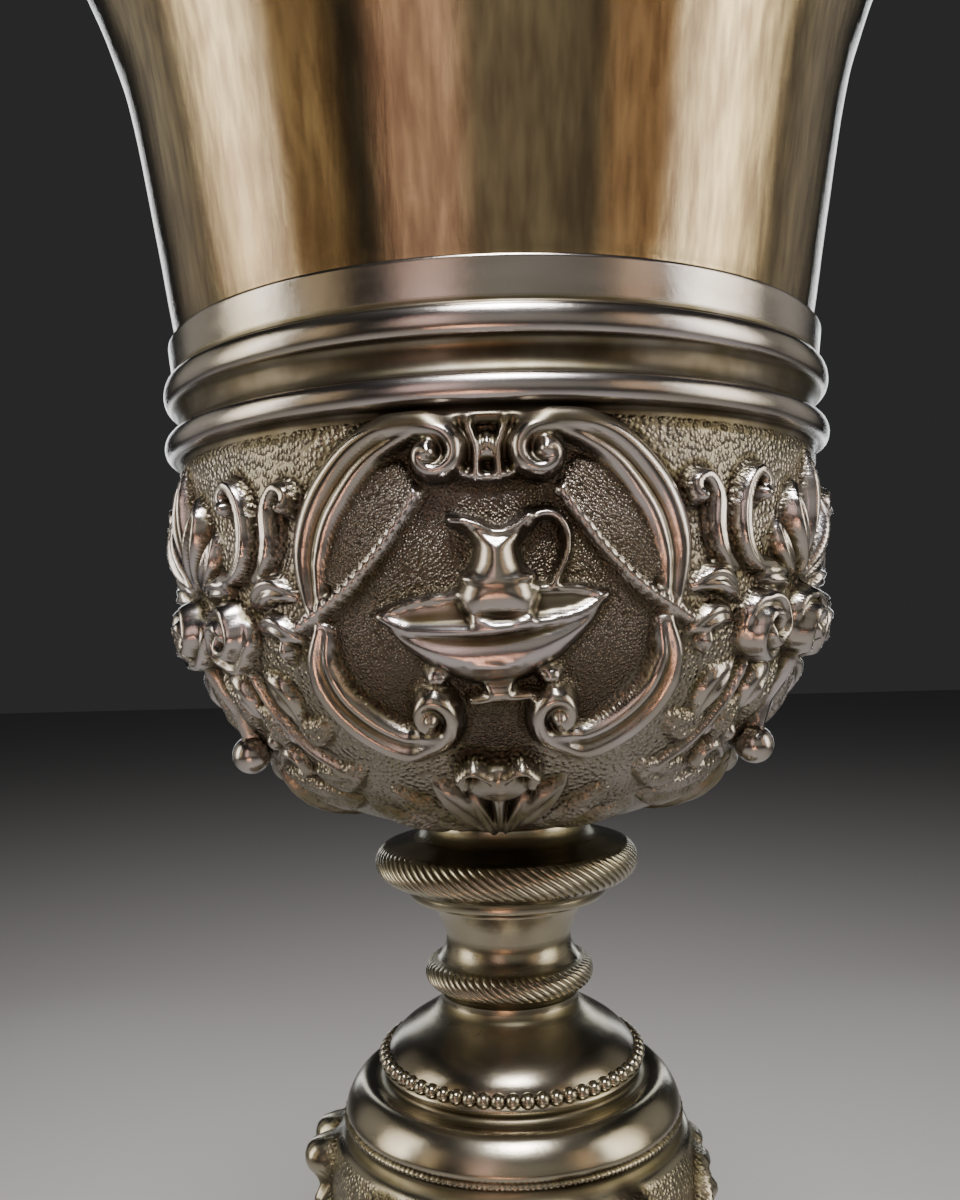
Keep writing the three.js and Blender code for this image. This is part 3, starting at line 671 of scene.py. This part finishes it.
def bottom_palmette(relief):
    """Under the medallion: a notched shell boss and an acanthus drop with a stem down its middle."""
    relief.blob((0, -14.0), 4.6, 1.9, 2.6)
    for side in (-1, 1):
        relief.blob((side * 3.9, -13.4), 1.0, 0.9, 2.9)
        relief.strand(about(0, side, [(0.8, -12.9), (2.8, -12.2), (4.8, -13.0)]), 0.45, 2.8)
        for leaf, wide, high, lobes, grain in (
            ([(2.0, -20.6), (4.4, -17.8), (9.0, -14.8)], 1.7, 1.5, 3, False),
            ([(0.9, -21.2), (1.7, -18.4), (3.6, -16.0)], 1.0, 1.9, 3, False),
            ([(6.0, -20.4), (10.4, -18.6), (16.0, -15.6)], 1.7, 1.1, 4, True),
            ([(12.0, -21.0), (17.0, -19.8), (23.0, -18.6)], 1.2, 0.9, 3, True),
        ):
            relief.leaf(about(0, side, leaf), wide, high, lobes, grain)
    relief.strand([(0, -15.6), (0, -18.0), (0, -20.2)], [1.0, 0.8, 0.9], [2.4, 2.0, 1.0])


# The calyx from its lip down: the run of each torus and hollow, and then the bowl that carries the carving.
CALYX_RUNS = [
    [(38.1, 248.2), (38.85, 248.2)],
    [(38.85, 248.2), (39.05, 248.0)],
    [(39.05, 248.0), (38.6, 244.0)],
    [(38.6, 244.0), (39.35, 243.6), (39.65, 242.4), (39.35, 241.3), (38.6, 240.9)],
    [(38.6, 240.9), (38.2, 240.3), (38.0, 239.3), (38.2, 238.3), (38.6, 237.8)],
    [(38.6, 237.8), (39.3, 237.4), (39.6, 236.4), (39.3, 235.4), (38.6, 235.0)],
    [(38.6, 235.0), (38.1, 234.8), (37.9, 234.2), (38.0, 233.6)],
    [(38.0, 233.6), (37.6, 229.0), (37.2, 222.0), (36.6, 216.0), (35.2, 211.2), (32.6, 206.4), (29.4, 201.8),
     (25.3, 197.6), (20.2, 194.8), (14.4, 192.9), (9.4, 192.2)],
    [(9.4, 192.2), (8.0, 192.2)],
]


def build_calyx(columns, pitch):
    """Three sectors of a third of a turn. The two at the back are a little coarser."""
    made = []
    for i in range(SECTORS):
        coarser = 1.0 if i == 0 else 1.25
        line = profile(CALYX_RUNS, pitch * coarser)
        turn = np.linspace(-THIRD / 2, THIRD / 2, int(columns / coarser))
        # A relief's rows run up the piece and a line runs down it, so each is turned over for the other.
        up = (line[:, 1] - CALYX_MIDDLE)[::-1]
        relief = Relief(turn * CALYX_ARC, up)
        bottom_palmette(relief)
        for side in (-1, 1):
            garland(relief, side * THIRD / 2 * CALYX_ARC)
        medallion_frame(relief)
        (ewer_and_basin if i == 0 else cross_on_rays)(relief)
        carved = ((up < 18.9) & (up > -22.6))[:, None]
        rise = np.where(carved, eased(relief.height), 0)[::-1]
        stipple = (np.where(carved, relief.stipple, 0) * (up > -20.5)[:, None])[::-1]
        oval = (relief.x[None, :] / 16.6) ** 2 + ((up[:, None] - 3.2) / 14.6) ** 2
        field = (np.clip((1.05 - oval) / 0.1, 0, 1) * relief.stipple)[::-1]
        z = line[:, 1]
        soiled_and_shaded = 0.95 * np.exp(-(((z - 239.4) / 1.3) ** 4)) + 0.8 * np.exp(-(((z - 234.0) / 0.9) ** 4))
        # Darker towards the bottom of the calyx's underside: painted shade, joined to the soil rows of the
        # hollows between the tori.
        soiled_and_shaded += 0.4 * np.clip((206.0 - z) / 8.0, 0, 1)
        start = math.radians(CALYX_TURN - THIRD / 2 + THIRD * i)
        name = "calyx_ewer_side" if i == 0 else f"calyx_cross_side_{i}"
        made.append(turned(name, line, len(turn), rise, stipple, field, soiled_and_shaded, start, TAU / SECTORS))
    return made


def build_berries():
    """The three berries that stand clear of the calyx, under its garlands."""
    turns = [math.radians(CALYX_TURN + THIRD / 2 + THIRD * i) for i in range(SECTORS)]
    return balls("calyx_berries", [round_at(w, 31.6, 201.9) for w in turns], 2.1, 32, 20)


def build_knop(columns, pitch):
    """An urn with cartouches and swags, a swelling ring with a milled line, and a small dome."""
    line = profile([
        [(8.3, 171.0), (8.4, 169.8), (9.4, 168.9), (11.2, 167.8), (13.2, 166.5), (14.6, 165.1),
         (15.2, 164.0)],
        [(15.2, 164.0), (15.3, 163.2)],
        [(15.3, 163.2), (16.0, 162.9), (15.6, 162.3), (15.3, 161.8), (16.2, 161.4)],
        [(16.2, 161.4), (18.0, 161.3), (19.3, 160.1), (20.1, 158.6), (20.3, 157.6)],
        [(20.3, 157.6), (20.0, 157.4)],
        [(20.0, 157.4), (20.6, 157.1), (20.0, 156.6)],
        [(20.0, 156.6), (20.2, 155.6), (21.2, 154.8)],
        [(21.2, 154.8), (21.8, 152.6), (22.2, 149.0), (22.3, 144.0), (21.4, 138.0), (19.2, 131.0),
         (16.0, 124.0), (12.4, 117.6), (9.9, 112.4), (9.2, 110.2)],
        [(9.2, 110.2), (8.3, 109.6), (8.3, 107.0)],
    ], pitch)
    turn = np.arange(columns) / columns * 360
    up = line[:, 1]
    relief = Relief(turn * KNOP_ARC, up[::-1])
    for i in range(-1, SECTORS + 1):
        bow = (THIRD * i + SWAG_TURN) * KNOP_ARC
        scroll = bow - THIRD / 2 * KNOP_ARC
        for side in (-1, 1):
            relief.blob((bow + side * 2.8, 151.6), 2.8, 2.6, 3.6)
            swag = about(bow, side, [(1.0, 150.8), (5.2, 147.0), (10.4, 144.6), (15.4, 147.2)])
            relief.strand(swag, [1.0, 2.0, 2.4, 1.4], [1.4, 2.3, 2.6, 1.6], twist=7)
            curl = [(1.6, 151.6), (4.8, 151.2), (7.0, 147.8), (6.2, 143.4), (3.4, 142.6), (3.8, 144.8)]
            relief.strand(about(scroll, side, curl), [0.9, 1.2, 1.1, 0.8], [1.8, 2.2, 2.0, 1.6], "scroll")
            relief.leaf(about(bow, side, [(0, 144.0), (3.0, 138.0), (2.0, 130.0)]), 1.9, 1.5, 4)
            relief.leaf(about(scroll, side, [(0, 139.0), (3.2, 134.0), (2.6, 126.0)]), 2.0, 1.5, 5)
        relief.strand([(bow, 151.4), (bow + 0.5, 147.0), (bow, 142.6)], 1.0, 1.9, twist=9)
        relief.blob((scroll, 146.8), 3.0, 2.9, 1.6)
        relief.blob((scroll, 146.8), 1.5, 1.5, 2.4)
        relief.leaf([(scroll, 140.5), (scroll, 132.0), (scroll, 122.0)], 2.2, 1.7, 6)
    rise = eased(relief.height)[::-1]
    grain = np.where(((up < 154.5) & (up > 118))[:, None], relief.stipple[::-1], 0)
    milled = 0.12 * np.cos(TAU * 200 * np.arange(columns) / columns)[None, :]
    rise += np.where(((up > 156.6) & (up < 157.45))[:, None], milled, 0)
    film = 0.6 * np.clip((up - 163.4) / 0.8, 0, 1) * np.clip((168.6 - up) / 1.6, 0, 1)
    knop = turned("knop_urn", line, columns, rise, grain, np.repeat(film[:, None], columns, 1))
    around = np.arange(60) / 60 * TAU
    beads = balls("knop_beads", [round_at(w, 15.35, 163.75) for w in around], 0.86, 10, 7)
    return [knop, beads]


def build_ring_pieces(pitch):
    """The roped dishes above and below, and the two waisted spools with their roped rings."""
    made = []
    for name, base, top, strands, columns in (("dish_upper", 182.0, 192.2, 84, 672),
                                              ("dish_lower", 80.0, 89.6, 78, 468)):
        k = (top - base) / 10.2
        line = profile([[(radius, base + (z - 182.0) * k) for radius, z in run] for run in [
            [(8.0, 192.2), (10.0, 192.1)],
            [(10.0, 192.1), (10.1, 190.9)],
            [(10.1, 190.9), (11.0, 189.9), (12.8, 189.3), (14.2, 189.0)],
            [(14.2, 189.0), (15.2, 188.7), (15.9, 187.8), (16.1, 186.8), (15.7, 185.7), (14.9, 185.0)],
            [(14.9, 185.0), (13.2, 184.8), (12.9, 184.2)],
            [(12.9, 184.2), (12.0, 184.0), (12.0, 182.8), (10.8, 182.3), (9.6, 182.0)],
            [(9.6, 182.0), (7.0, 182.0)],
        ]], pitch)
        rise, lead = roped(line, columns, strands, base + 3.0 * k, base + 6.9 * k, 0.3, 0.05)
        made.append(turned(name, line, columns, rise, lead=lead))
    for name, runs, low, high in (
        ("spool_upper", [
            [(7.0, 182.0), (9.5, 182.0)],
            [(9.5, 182.0), (8.6, 180.4), (7.9, 178.6), (7.6, 177.4), (8.0, 176.0), (8.9, 174.9)],
            [(8.9, 174.9), (9.9, 174.4), (10.3, 173.4), (10.0, 172.4), (9.0, 171.8)],
            [(9.0, 171.8), (8.6, 171.4), (8.5, 171.0)],
            [(8.5, 171.0), (7.0, 171.0)],
        ], 171.8, 174.9),
        ("spool_lower", [
            [(7.0, 107.0), (8.4, 107.0)],
            [(8.4, 107.0), (8.6, 106.2), (8.9, 105.6)],
            [(8.9, 105.6), (9.9, 105.0), (10.3, 103.6), (9.9, 102.2), (8.8, 101.5)],
            [(8.8, 101.5), (7.9, 98.4), (7.6, 95.4), (8.2, 92.2), (9.5, 89.6)],
            [(9.5, 89.6), (7.0, 89.6)],
        ], 101.5, 105.6),
    ):
        line = profile(runs, pitch)
        rise, lead = roped(line, 480, 60, low, high, 0.24, 0.06)
        made.append(turned(name, line, 480, rise, lead=lead))
    return made


def build_cup(columns, pitch):
    """The bowl, with a wall of 1 mm: inside from its floor up to the lip, and outside down to the calyx."""
    outside = [(38.15, 249.0), (38.9, 253.4), (39.7, 258.5), (40.5, 263.2), (41.3, 268.0), (42.3, 273.6),
               (43.5, 279.0), (44.9, 283.4), (46.6, 288.2), (48.4, 292.4), (49.2, 294.3)]
    inside = [(r - 1.0, z) for r, z in outside]
    line = profile([
        [(0.0, 196.0), (8.0, 196.1), (17.0, 197.8), (25.4, 202.4), (31.4, 209.0), (34.6, 217.0),
         (35.8, 228.0), (36.6, 240.0), inside[0]],
        inside,
        [inside[-1], (48.6, 294.85), (49.1, 294.9), (49.35, 294.6), outside[-1]],
        outside[::-1],
        [outside[0], (38.1, 247.6)],
    ], pitch)
    return turned("cup_bowl", line, columns)


def build_foot(columns, pitch):
    """A domed foot, hollow below: ring medallions and rosettes on the dome, mouldings and a ribbed edge."""
    line = profile([
        [(7.0, 80.0), (9.5, 80.0)],
        [(9.5, 80.0), (9.8, 77.6)],
        [(9.8, 77.6), (10.6, 77.2), (10.9, 76.1), (10.6, 75.0), (9.8, 74.5)],
        [(9.8, 74.5), (9.9, 72.0), (11.8, 63.0), (16.2, 54.0), (24.6, 46.6), (35.8, 40.6), (46.4, 33.6),
         (53.4, 25.4), (56.0, 19.2)],
        [(56.0, 19.2), (57.6, 18.8)],
        [(57.6, 18.8), (57.8, 16.6), (59.2, 14.2), (62.0, 12.6), (64.4, 12.3)],
        [(64.4, 12.3), (67.0, 12.6), (69.2, 11.6), (70.4, 9.8), (70.4, 8.2)],
        [(70.4, 8.2), (72.4, 7.6), (73.3, 5.8), (73.2, 4.2), (72.6, 3.0)],
        [(72.6, 3.0), (72.9, 0.0)],
        [(72.9, 0.0), (70.2, 0.0)],
        [(70.2, 0.0), (70.0, 3.4)],
        [(70.0, 3.4), (54.4, 17.4), (51.8, 24.4), (45.2, 32.2), (34.8, 39.0), (23.6, 45.0), (14.8, 52.8),
         (10.4, 62.0), (5.0, 66.0), (0.0, 66.4)],
    ], pitch)
    turn = np.arange(columns) / columns * 360
    walked = walk_along(line)
    top = int(np.argmin(np.abs(line[:, 1] - 74.5)))
    edge = int(np.argmin(np.hypot(line[:, 0] - 56.0, line[:, 1] - 19.2)))
    dome = np.arange(top, edge + 1)
    # The dome's y is the length walked up it from its edge.
    along = walked[dome] - walked[dome[-1]]
    relief = Relief(turn * FOOT_ARC, -along[::-1], line[dome][::-1, 0] * math.radians(1) / FOOT_ARC)
    for i in range(-1, SECTORS + 1):
        relief.middle = THIRD * i * FOOT_ARC
        ring_medallion(relief, relief.middle)
        relief.middle = (THIRD * i + THIRD / 2) * FOOT_ARC
        rosette(relief, relief.middle)
    # The edge is pressed, so its ribs show on both sides of it.
    rise, _ = roped(line, columns, 120, 3.0, 8.2, 0.5, 0)
    grain = np.zeros_like(rise)
    rise[dome] = eased(relief.height)[::-1]
    grain[dome] = relief.stipple[::-1]
    return turned("foot_dome", line, columns, rise, grain)


def ring_medallion(relief, middle):
    """A ring about a rose with eight petals, scrolls above and below it, and a leaf up the dome."""
    up = 18.5
    for reach, wide, high in ((12.6, 1.0, 2.2), (10.4, 0.7, 1.6)):
        ring = [(middle + reach * math.cos(w), up + reach * math.sin(w))
                for w in np.linspace(-math.pi / 2, 1.5 * math.pi, 33)]
        relief.strand(ring, wide, high, "round", 60)
    relief.rose((middle, up), 4.6, 2.6)
    for k in range(8):
        x, y = math.cos(TAU * k / 8), math.sin(TAU * k / 8)
        relief.leaf([(middle + reach * x, up + reach * y) for reach in (5.2, 9.4)], 1.5, 1.2)
    high_curl = [(1.5, 33.5), (5.5, 33.0), (7.4, 36.4), (5.4, 39.0), (3.6, 37.4), (4.8, 36.0)]
    low_curl = [(11, 7.5), (16, 5.0), (20.0, 8.0), (18.0, 12.0), (15.6, 10.4), (17.0, 8.8)]
    for side in (-1, 1):
        for curl, wide in ((high_curl, [0.8, 1.1, 0.9, 0.8]), (low_curl, [0.8, 1.2, 1.0, 0.8])):
            relief.strand(about(middle, side, curl), wide, [1.6, 2.2, 2.0, 1.8], "fluted", 44)
    relief.leaf([(middle, 33.0), (middle, 40.0), (middle, 50.0)], 2.8, 1.8, 4)


def rosette(relief, middle):
    """A rose between two ring medallions, with a leaf up the dome and three to each side."""
    relief.rose((middle, 12.5), 4.6, 3.0)
    relief.leaf([(middle, 17.0), (middle, 26.0), (middle, 38.0)], 4.2, 2.0, 5)
    for side in (-1, 1):
        for leaf, wide, high in (
            ([(4, 14.5), (11, 17.5), (18, 14.5)], 2.9, 1.8),
            ([(3.6, 9.4), (10.0, 6.6), (17.0, 4.0)], 2.5, 1.5),
            ([(3.4, 17.2), (8.4, 22.6), (9.0, 30.0)], 2.6, 1.6),
        ):
            relief.leaf(about(middle, side, leaf), wide, high, 5)


# Settings


class ChaliceSettings(bpy.types.PropertyGroup):
    calyx_columns: bpy.props.IntProperty(
        name="Calyx columns", description="Grid columns round the third of the calyx that has the ewer",
        default=340, min=60)
    calyx_pitch: bpy.props.FloatProperty(
        name="Calyx rows (mm)", description="Distance between the calyx's grid rows", default=0.265, min=0.1)
    cup_columns: bpy.props.IntProperty(
        name="Cup columns", description="Grid columns round the cup", default=192, min=60)
    cup_pitch: bpy.props.FloatProperty(
        name="Cup rows (mm)", description="Distance between the cup's grid rows", default=1.4, min=0.1)
    knop_columns: bpy.props.IntProperty(
        name="Knop columns", description="Grid columns round the knop", default=480, min=60)
    knop_pitch: bpy.props.FloatProperty(
        name="Knop rows (mm)", description="Distance between the knop's grid rows", default=0.65, min=0.1)
    stem_pitch: bpy.props.FloatProperty(
        name="Stem rows (mm)", description="Distance between the rows of dishes and spools",
        default=0.5, min=0.1)
    foot_columns: bpy.props.IntProperty(
        name="Foot columns", description="Grid columns round the foot", default=480, min=60)
    foot_pitch: bpy.props.FloatProperty(
        name="Foot rows (mm)", description="Distance between the foot's grid rows", default=1.5, min=0.1)
    silver_colour: bpy.props.FloatVectorProperty(
        name="Silver", description="Worn silver on the high places", subtype="COLOR", size=4,
        default=(0.5, 0.465, 0.49, 1))
    stem_colour: bpy.props.FloatVectorProperty(
        name="Stem silver", description="Silver of the stem, with an olive film", subtype="COLOR", size=4,
        default=(0.29, 0.265, 0.185, 1))
    silver_warm: bpy.props.FloatVectorProperty(
        name="Warm silver", description="Silver where it has yellowed", subtype="COLOR", size=4,
        default=(0.28, 0.25, 0.2, 1))
    # The soil colour also serves as painted shade on the calyx's underside.
    soil_and_shade: bpy.props.FloatVectorProperty(
        name="Soil", description="Olive brown film in shallow hollows and on the punched ground",
        subtype="COLOR", size=4, default=(0.115, 0.1, 0.056, 1))
    tarnish: bpy.props.FloatVectorProperty(
        name="Tarnish", description="Dark dirt in the deep hollows", subtype="COLOR", size=4,
        default=(0.035, 0.025, 0.018, 1))
    gilt_colour: bpy.props.FloatVectorProperty(
        name="Gilt", description="Worn gilding of the cup", subtype="COLOR", size=4,
        default=(0.45, 0.36, 0.21, 1))
    # The browned gilt also paints upright reflection bands on the cup, besides its tarnish.
    gilt_tarnish_and_reflection: bpy.props.FloatVectorProperty(
        name="Browned gilt", description="Gilding under brown tarnish", subtype="COLOR", size=4,
        default=(0.16, 0.112, 0.07, 1))


def metals(settings):
    """The worn silver, the stem's silver under its film and the worn gilding, made once."""
    s = settings
    if "silver_worn" not in bpy.data.materials:
        worn_metal("silver_worn", s.silver_colour, s.silver_warm, s.soil_and_shade, s.tarnish, rough=0.18, dents=0.2,
                   scored=0.12, streak=(1.0, 1.0, 5.0), scratch=(1.0, 1.0, 2.5))
        worn_metal("stem_worn", s.stem_colour, s.silver_warm, s.soil_and_shade, s.tarnish, rough=0.21, dents=0.2,
                   scored=0.1, streak=(1.0, 1.0, 4.0), scratch=(1.0, 1.0, 2.5))
        # On the gilt the browned colour runs in long upright smears: partly tarnish and partly painted
        # reflection bands.
        worn_metal("gilt_worn", s.gilt_colour, s.gilt_tarnish_and_reflection, s.soil_and_shade, s.tarnish, rough=0.1, dents=0.05,
                   scored=0.12, streak=(22.0, 22.0, 0.12), scratch=(8.0, 8.0, 0.3))
    return [bpy.data.materials[name] for name in ("silver_worn", "stem_worn", "gilt_worn")]


def finish(pieces, node, material):
    """Gives the pieces that take a node's place their metal and their body."""
    for piece in pieces:
        piece.data.materials.append(material)
        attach(piece, "root")
        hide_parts(node)


class CHALICE_OT_cup(bpy.types.Operator):
    """Adds the gilt bowl inside the calyx"""

    bl_idname = "chalice.cup"
    bl_label = "Cup"

    def execute(self, context):
        settings = context.scene.chalice
        _, _, gilt = metals(settings)
        finish([build_cup(settings.cup_columns, settings.cup_pitch)], "cup", gilt)
        return {"FINISHED"}


class CHALICE_OT_calyx(bpy.types.Operator):
    """Adds the carved calyx in three sectors, and the berries that stand clear of it"""

    bl_idname = "chalice.calyx"
    bl_label = "Calyx"

    def execute(self, context):
        settings = context.scene.chalice
        silver, _, _ = metals(settings)
        sectors = build_calyx(settings.calyx_columns, settings.calyx_pitch)
        finish([*sectors, build_berries()], "calyx", silver)
        return {"FINISHED"}


class CHALICE_OT_stem(bpy.types.Operator):
    """Adds the roped dishes, the spools and the knop"""

    bl_idname = "chalice.stem"
    bl_label = "Stem"

    def execute(self, context):
        settings = context.scene.chalice
        _, stem, _ = metals(settings)
        upper_dish, lower_dish, upper_spool, lower_spool = build_ring_pieces(settings.stem_pitch)
        finish([upper_dish], "collar", stem)
        finish([lower_dish], "foot_collar", stem)
        finish([upper_spool], "neck_spool", stem)
        finish([lower_spool], "lower_spool", stem)
        finish(build_knop(settings.knop_columns, settings.knop_pitch), "knop", stem)
        return {"FINISHED"}


class CHALICE_OT_foot(bpy.types.Operator):
    """Adds the domed foot"""

    bl_idname = "chalice.foot"
    bl_label = "Foot"

    def execute(self, context):
        settings = context.scene.chalice
        silver, _, _ = metals(settings)
        finish([build_foot(settings.foot_columns, settings.foot_pitch)], "foot", silver)
        return {"FINISHED"}


class CHALICE_OT_stage(bpy.types.Operator):
    """Adds the floor, the lights and the camera"""

    bl_idname = "chalice.stage"
    bl_label = "Stage"

    def execute(self, context):
        add_stage(context.scene)
        return {"FINISHED"}


def add_floor(half, colour):
    """A plain square floor at z of 0, half metres to each side."""
    mesh = bpy.data.meshes.new("floor")
    corners = [(-half, -half, 0), (half, -half, 0), (half, half, 0), (-half, half, 0)]
    mesh.from_pydata(corners, [], [(0, 1, 2, 3)])
    mat, _, bsdf = new_material("floor")
    bsdf.inputs["Base Color"].default_value = colour
    bsdf.inputs["Roughness"].default_value = 0.9
    mesh.materials.append(mat)
    placed("floor", mesh)


def add_lamp(name, turn, reach, rise, size, power, colour):
    """A soft lamp at a turn from the front, which points at the calyx."""
    data = bpy.data.lights.new(name, "AREA")
    data.shape = "RECTANGLE"
    data.size, data.size_y = size
    data.energy = power
    data.color = colour
    data.spread = math.radians(100)
    lamp = bpy.data.objects.new(name, data)
    bpy.context.scene.collection.objects.link(lamp)
    place = Vector(round_at(math.radians(turn), reach, rise))
    back = place - Vector((0, 0, 0.22))
    lamp.matrix_world = Matrix.Translation(place) @ back.to_track_quat("Z", "Y").to_matrix().to_4x4()


def add_stage(scene):
    """The floor, a dim even light from all round, the lamps and the camera."""
    world = bpy.data.worlds.new("studio")
    world.use_nodes = True
    background = world.node_tree.nodes["Background"]
    background.inputs["Color"].default_value = (0.6, 0.6, 0.62, 1)
    background.inputs["Strength"].default_value = 0.045
    scene.world = world
    add_floor(3, (0.5, 0.49, 0.48, 1))
    for lamp in LAMPS:
        add_lamp(*lamp)
    data = bpy.data.cameras.new("camera")
    data.sensor_width = 36.0
    data.lens = CAMERA_LENS
    data.clip_start = 0.005
    camera = bpy.data.objects.new("camera", data)
    scene.collection.objects.link(camera)
    turn, tilt, roll = (math.radians(angle) for angle in CAMERA_TURN)
    camera.matrix_world = (Matrix.Translation(CAMERA_PLACE) @ Matrix.Rotation(turn, 4, "Z")
                           @ Matrix.Rotation(math.pi / 2 + tilt, 4, "X") @ Matrix.Rotation(roll, 4, "Z"))
    scene.camera = camera


class CHALICE_PT_panel(bpy.types.Panel):
    bl_idname = "CHALICE_PT_panel"
    bl_label = "Chalice"
    bl_space_type = "VIEW_3D"
    bl_region_type = "UI"
    bl_category = "Chalice"

    def draw(self, context):
        for key in ChaliceSettings.__annotations__:
            self.layout.prop(context.scene.chalice, key)
        for operator in OPERATORS:
            self.layout.operator(operator.bl_idname)


OPERATORS = (CHALICE_OT_cup, CHALICE_OT_calyx, CHALICE_OT_stem, CHALICE_OT_foot, CHALICE_OT_stage)
CLASSES = (ChaliceSettings, *OPERATORS, CHALICE_PT_panel)


def register():
    for cls in CLASSES:
        bpy.utils.register_class(cls)
    bpy.types.Scene.chalice = bpy.props.PointerProperty(type=ChaliceSettings)


def unregister():
    del bpy.types.Scene.chalice
    for cls in reversed(CLASSES):
        bpy.utils.unregister_class(cls)


def main():
    register()
    bpy.ops.chalice.stage()
    bpy.ops.chalice.cup()
    bpy.ops.chalice.calyx()
    bpy.ops.chalice.stem()
    bpy.ops.chalice.foot()


if __name__ == "__main__":
    main()
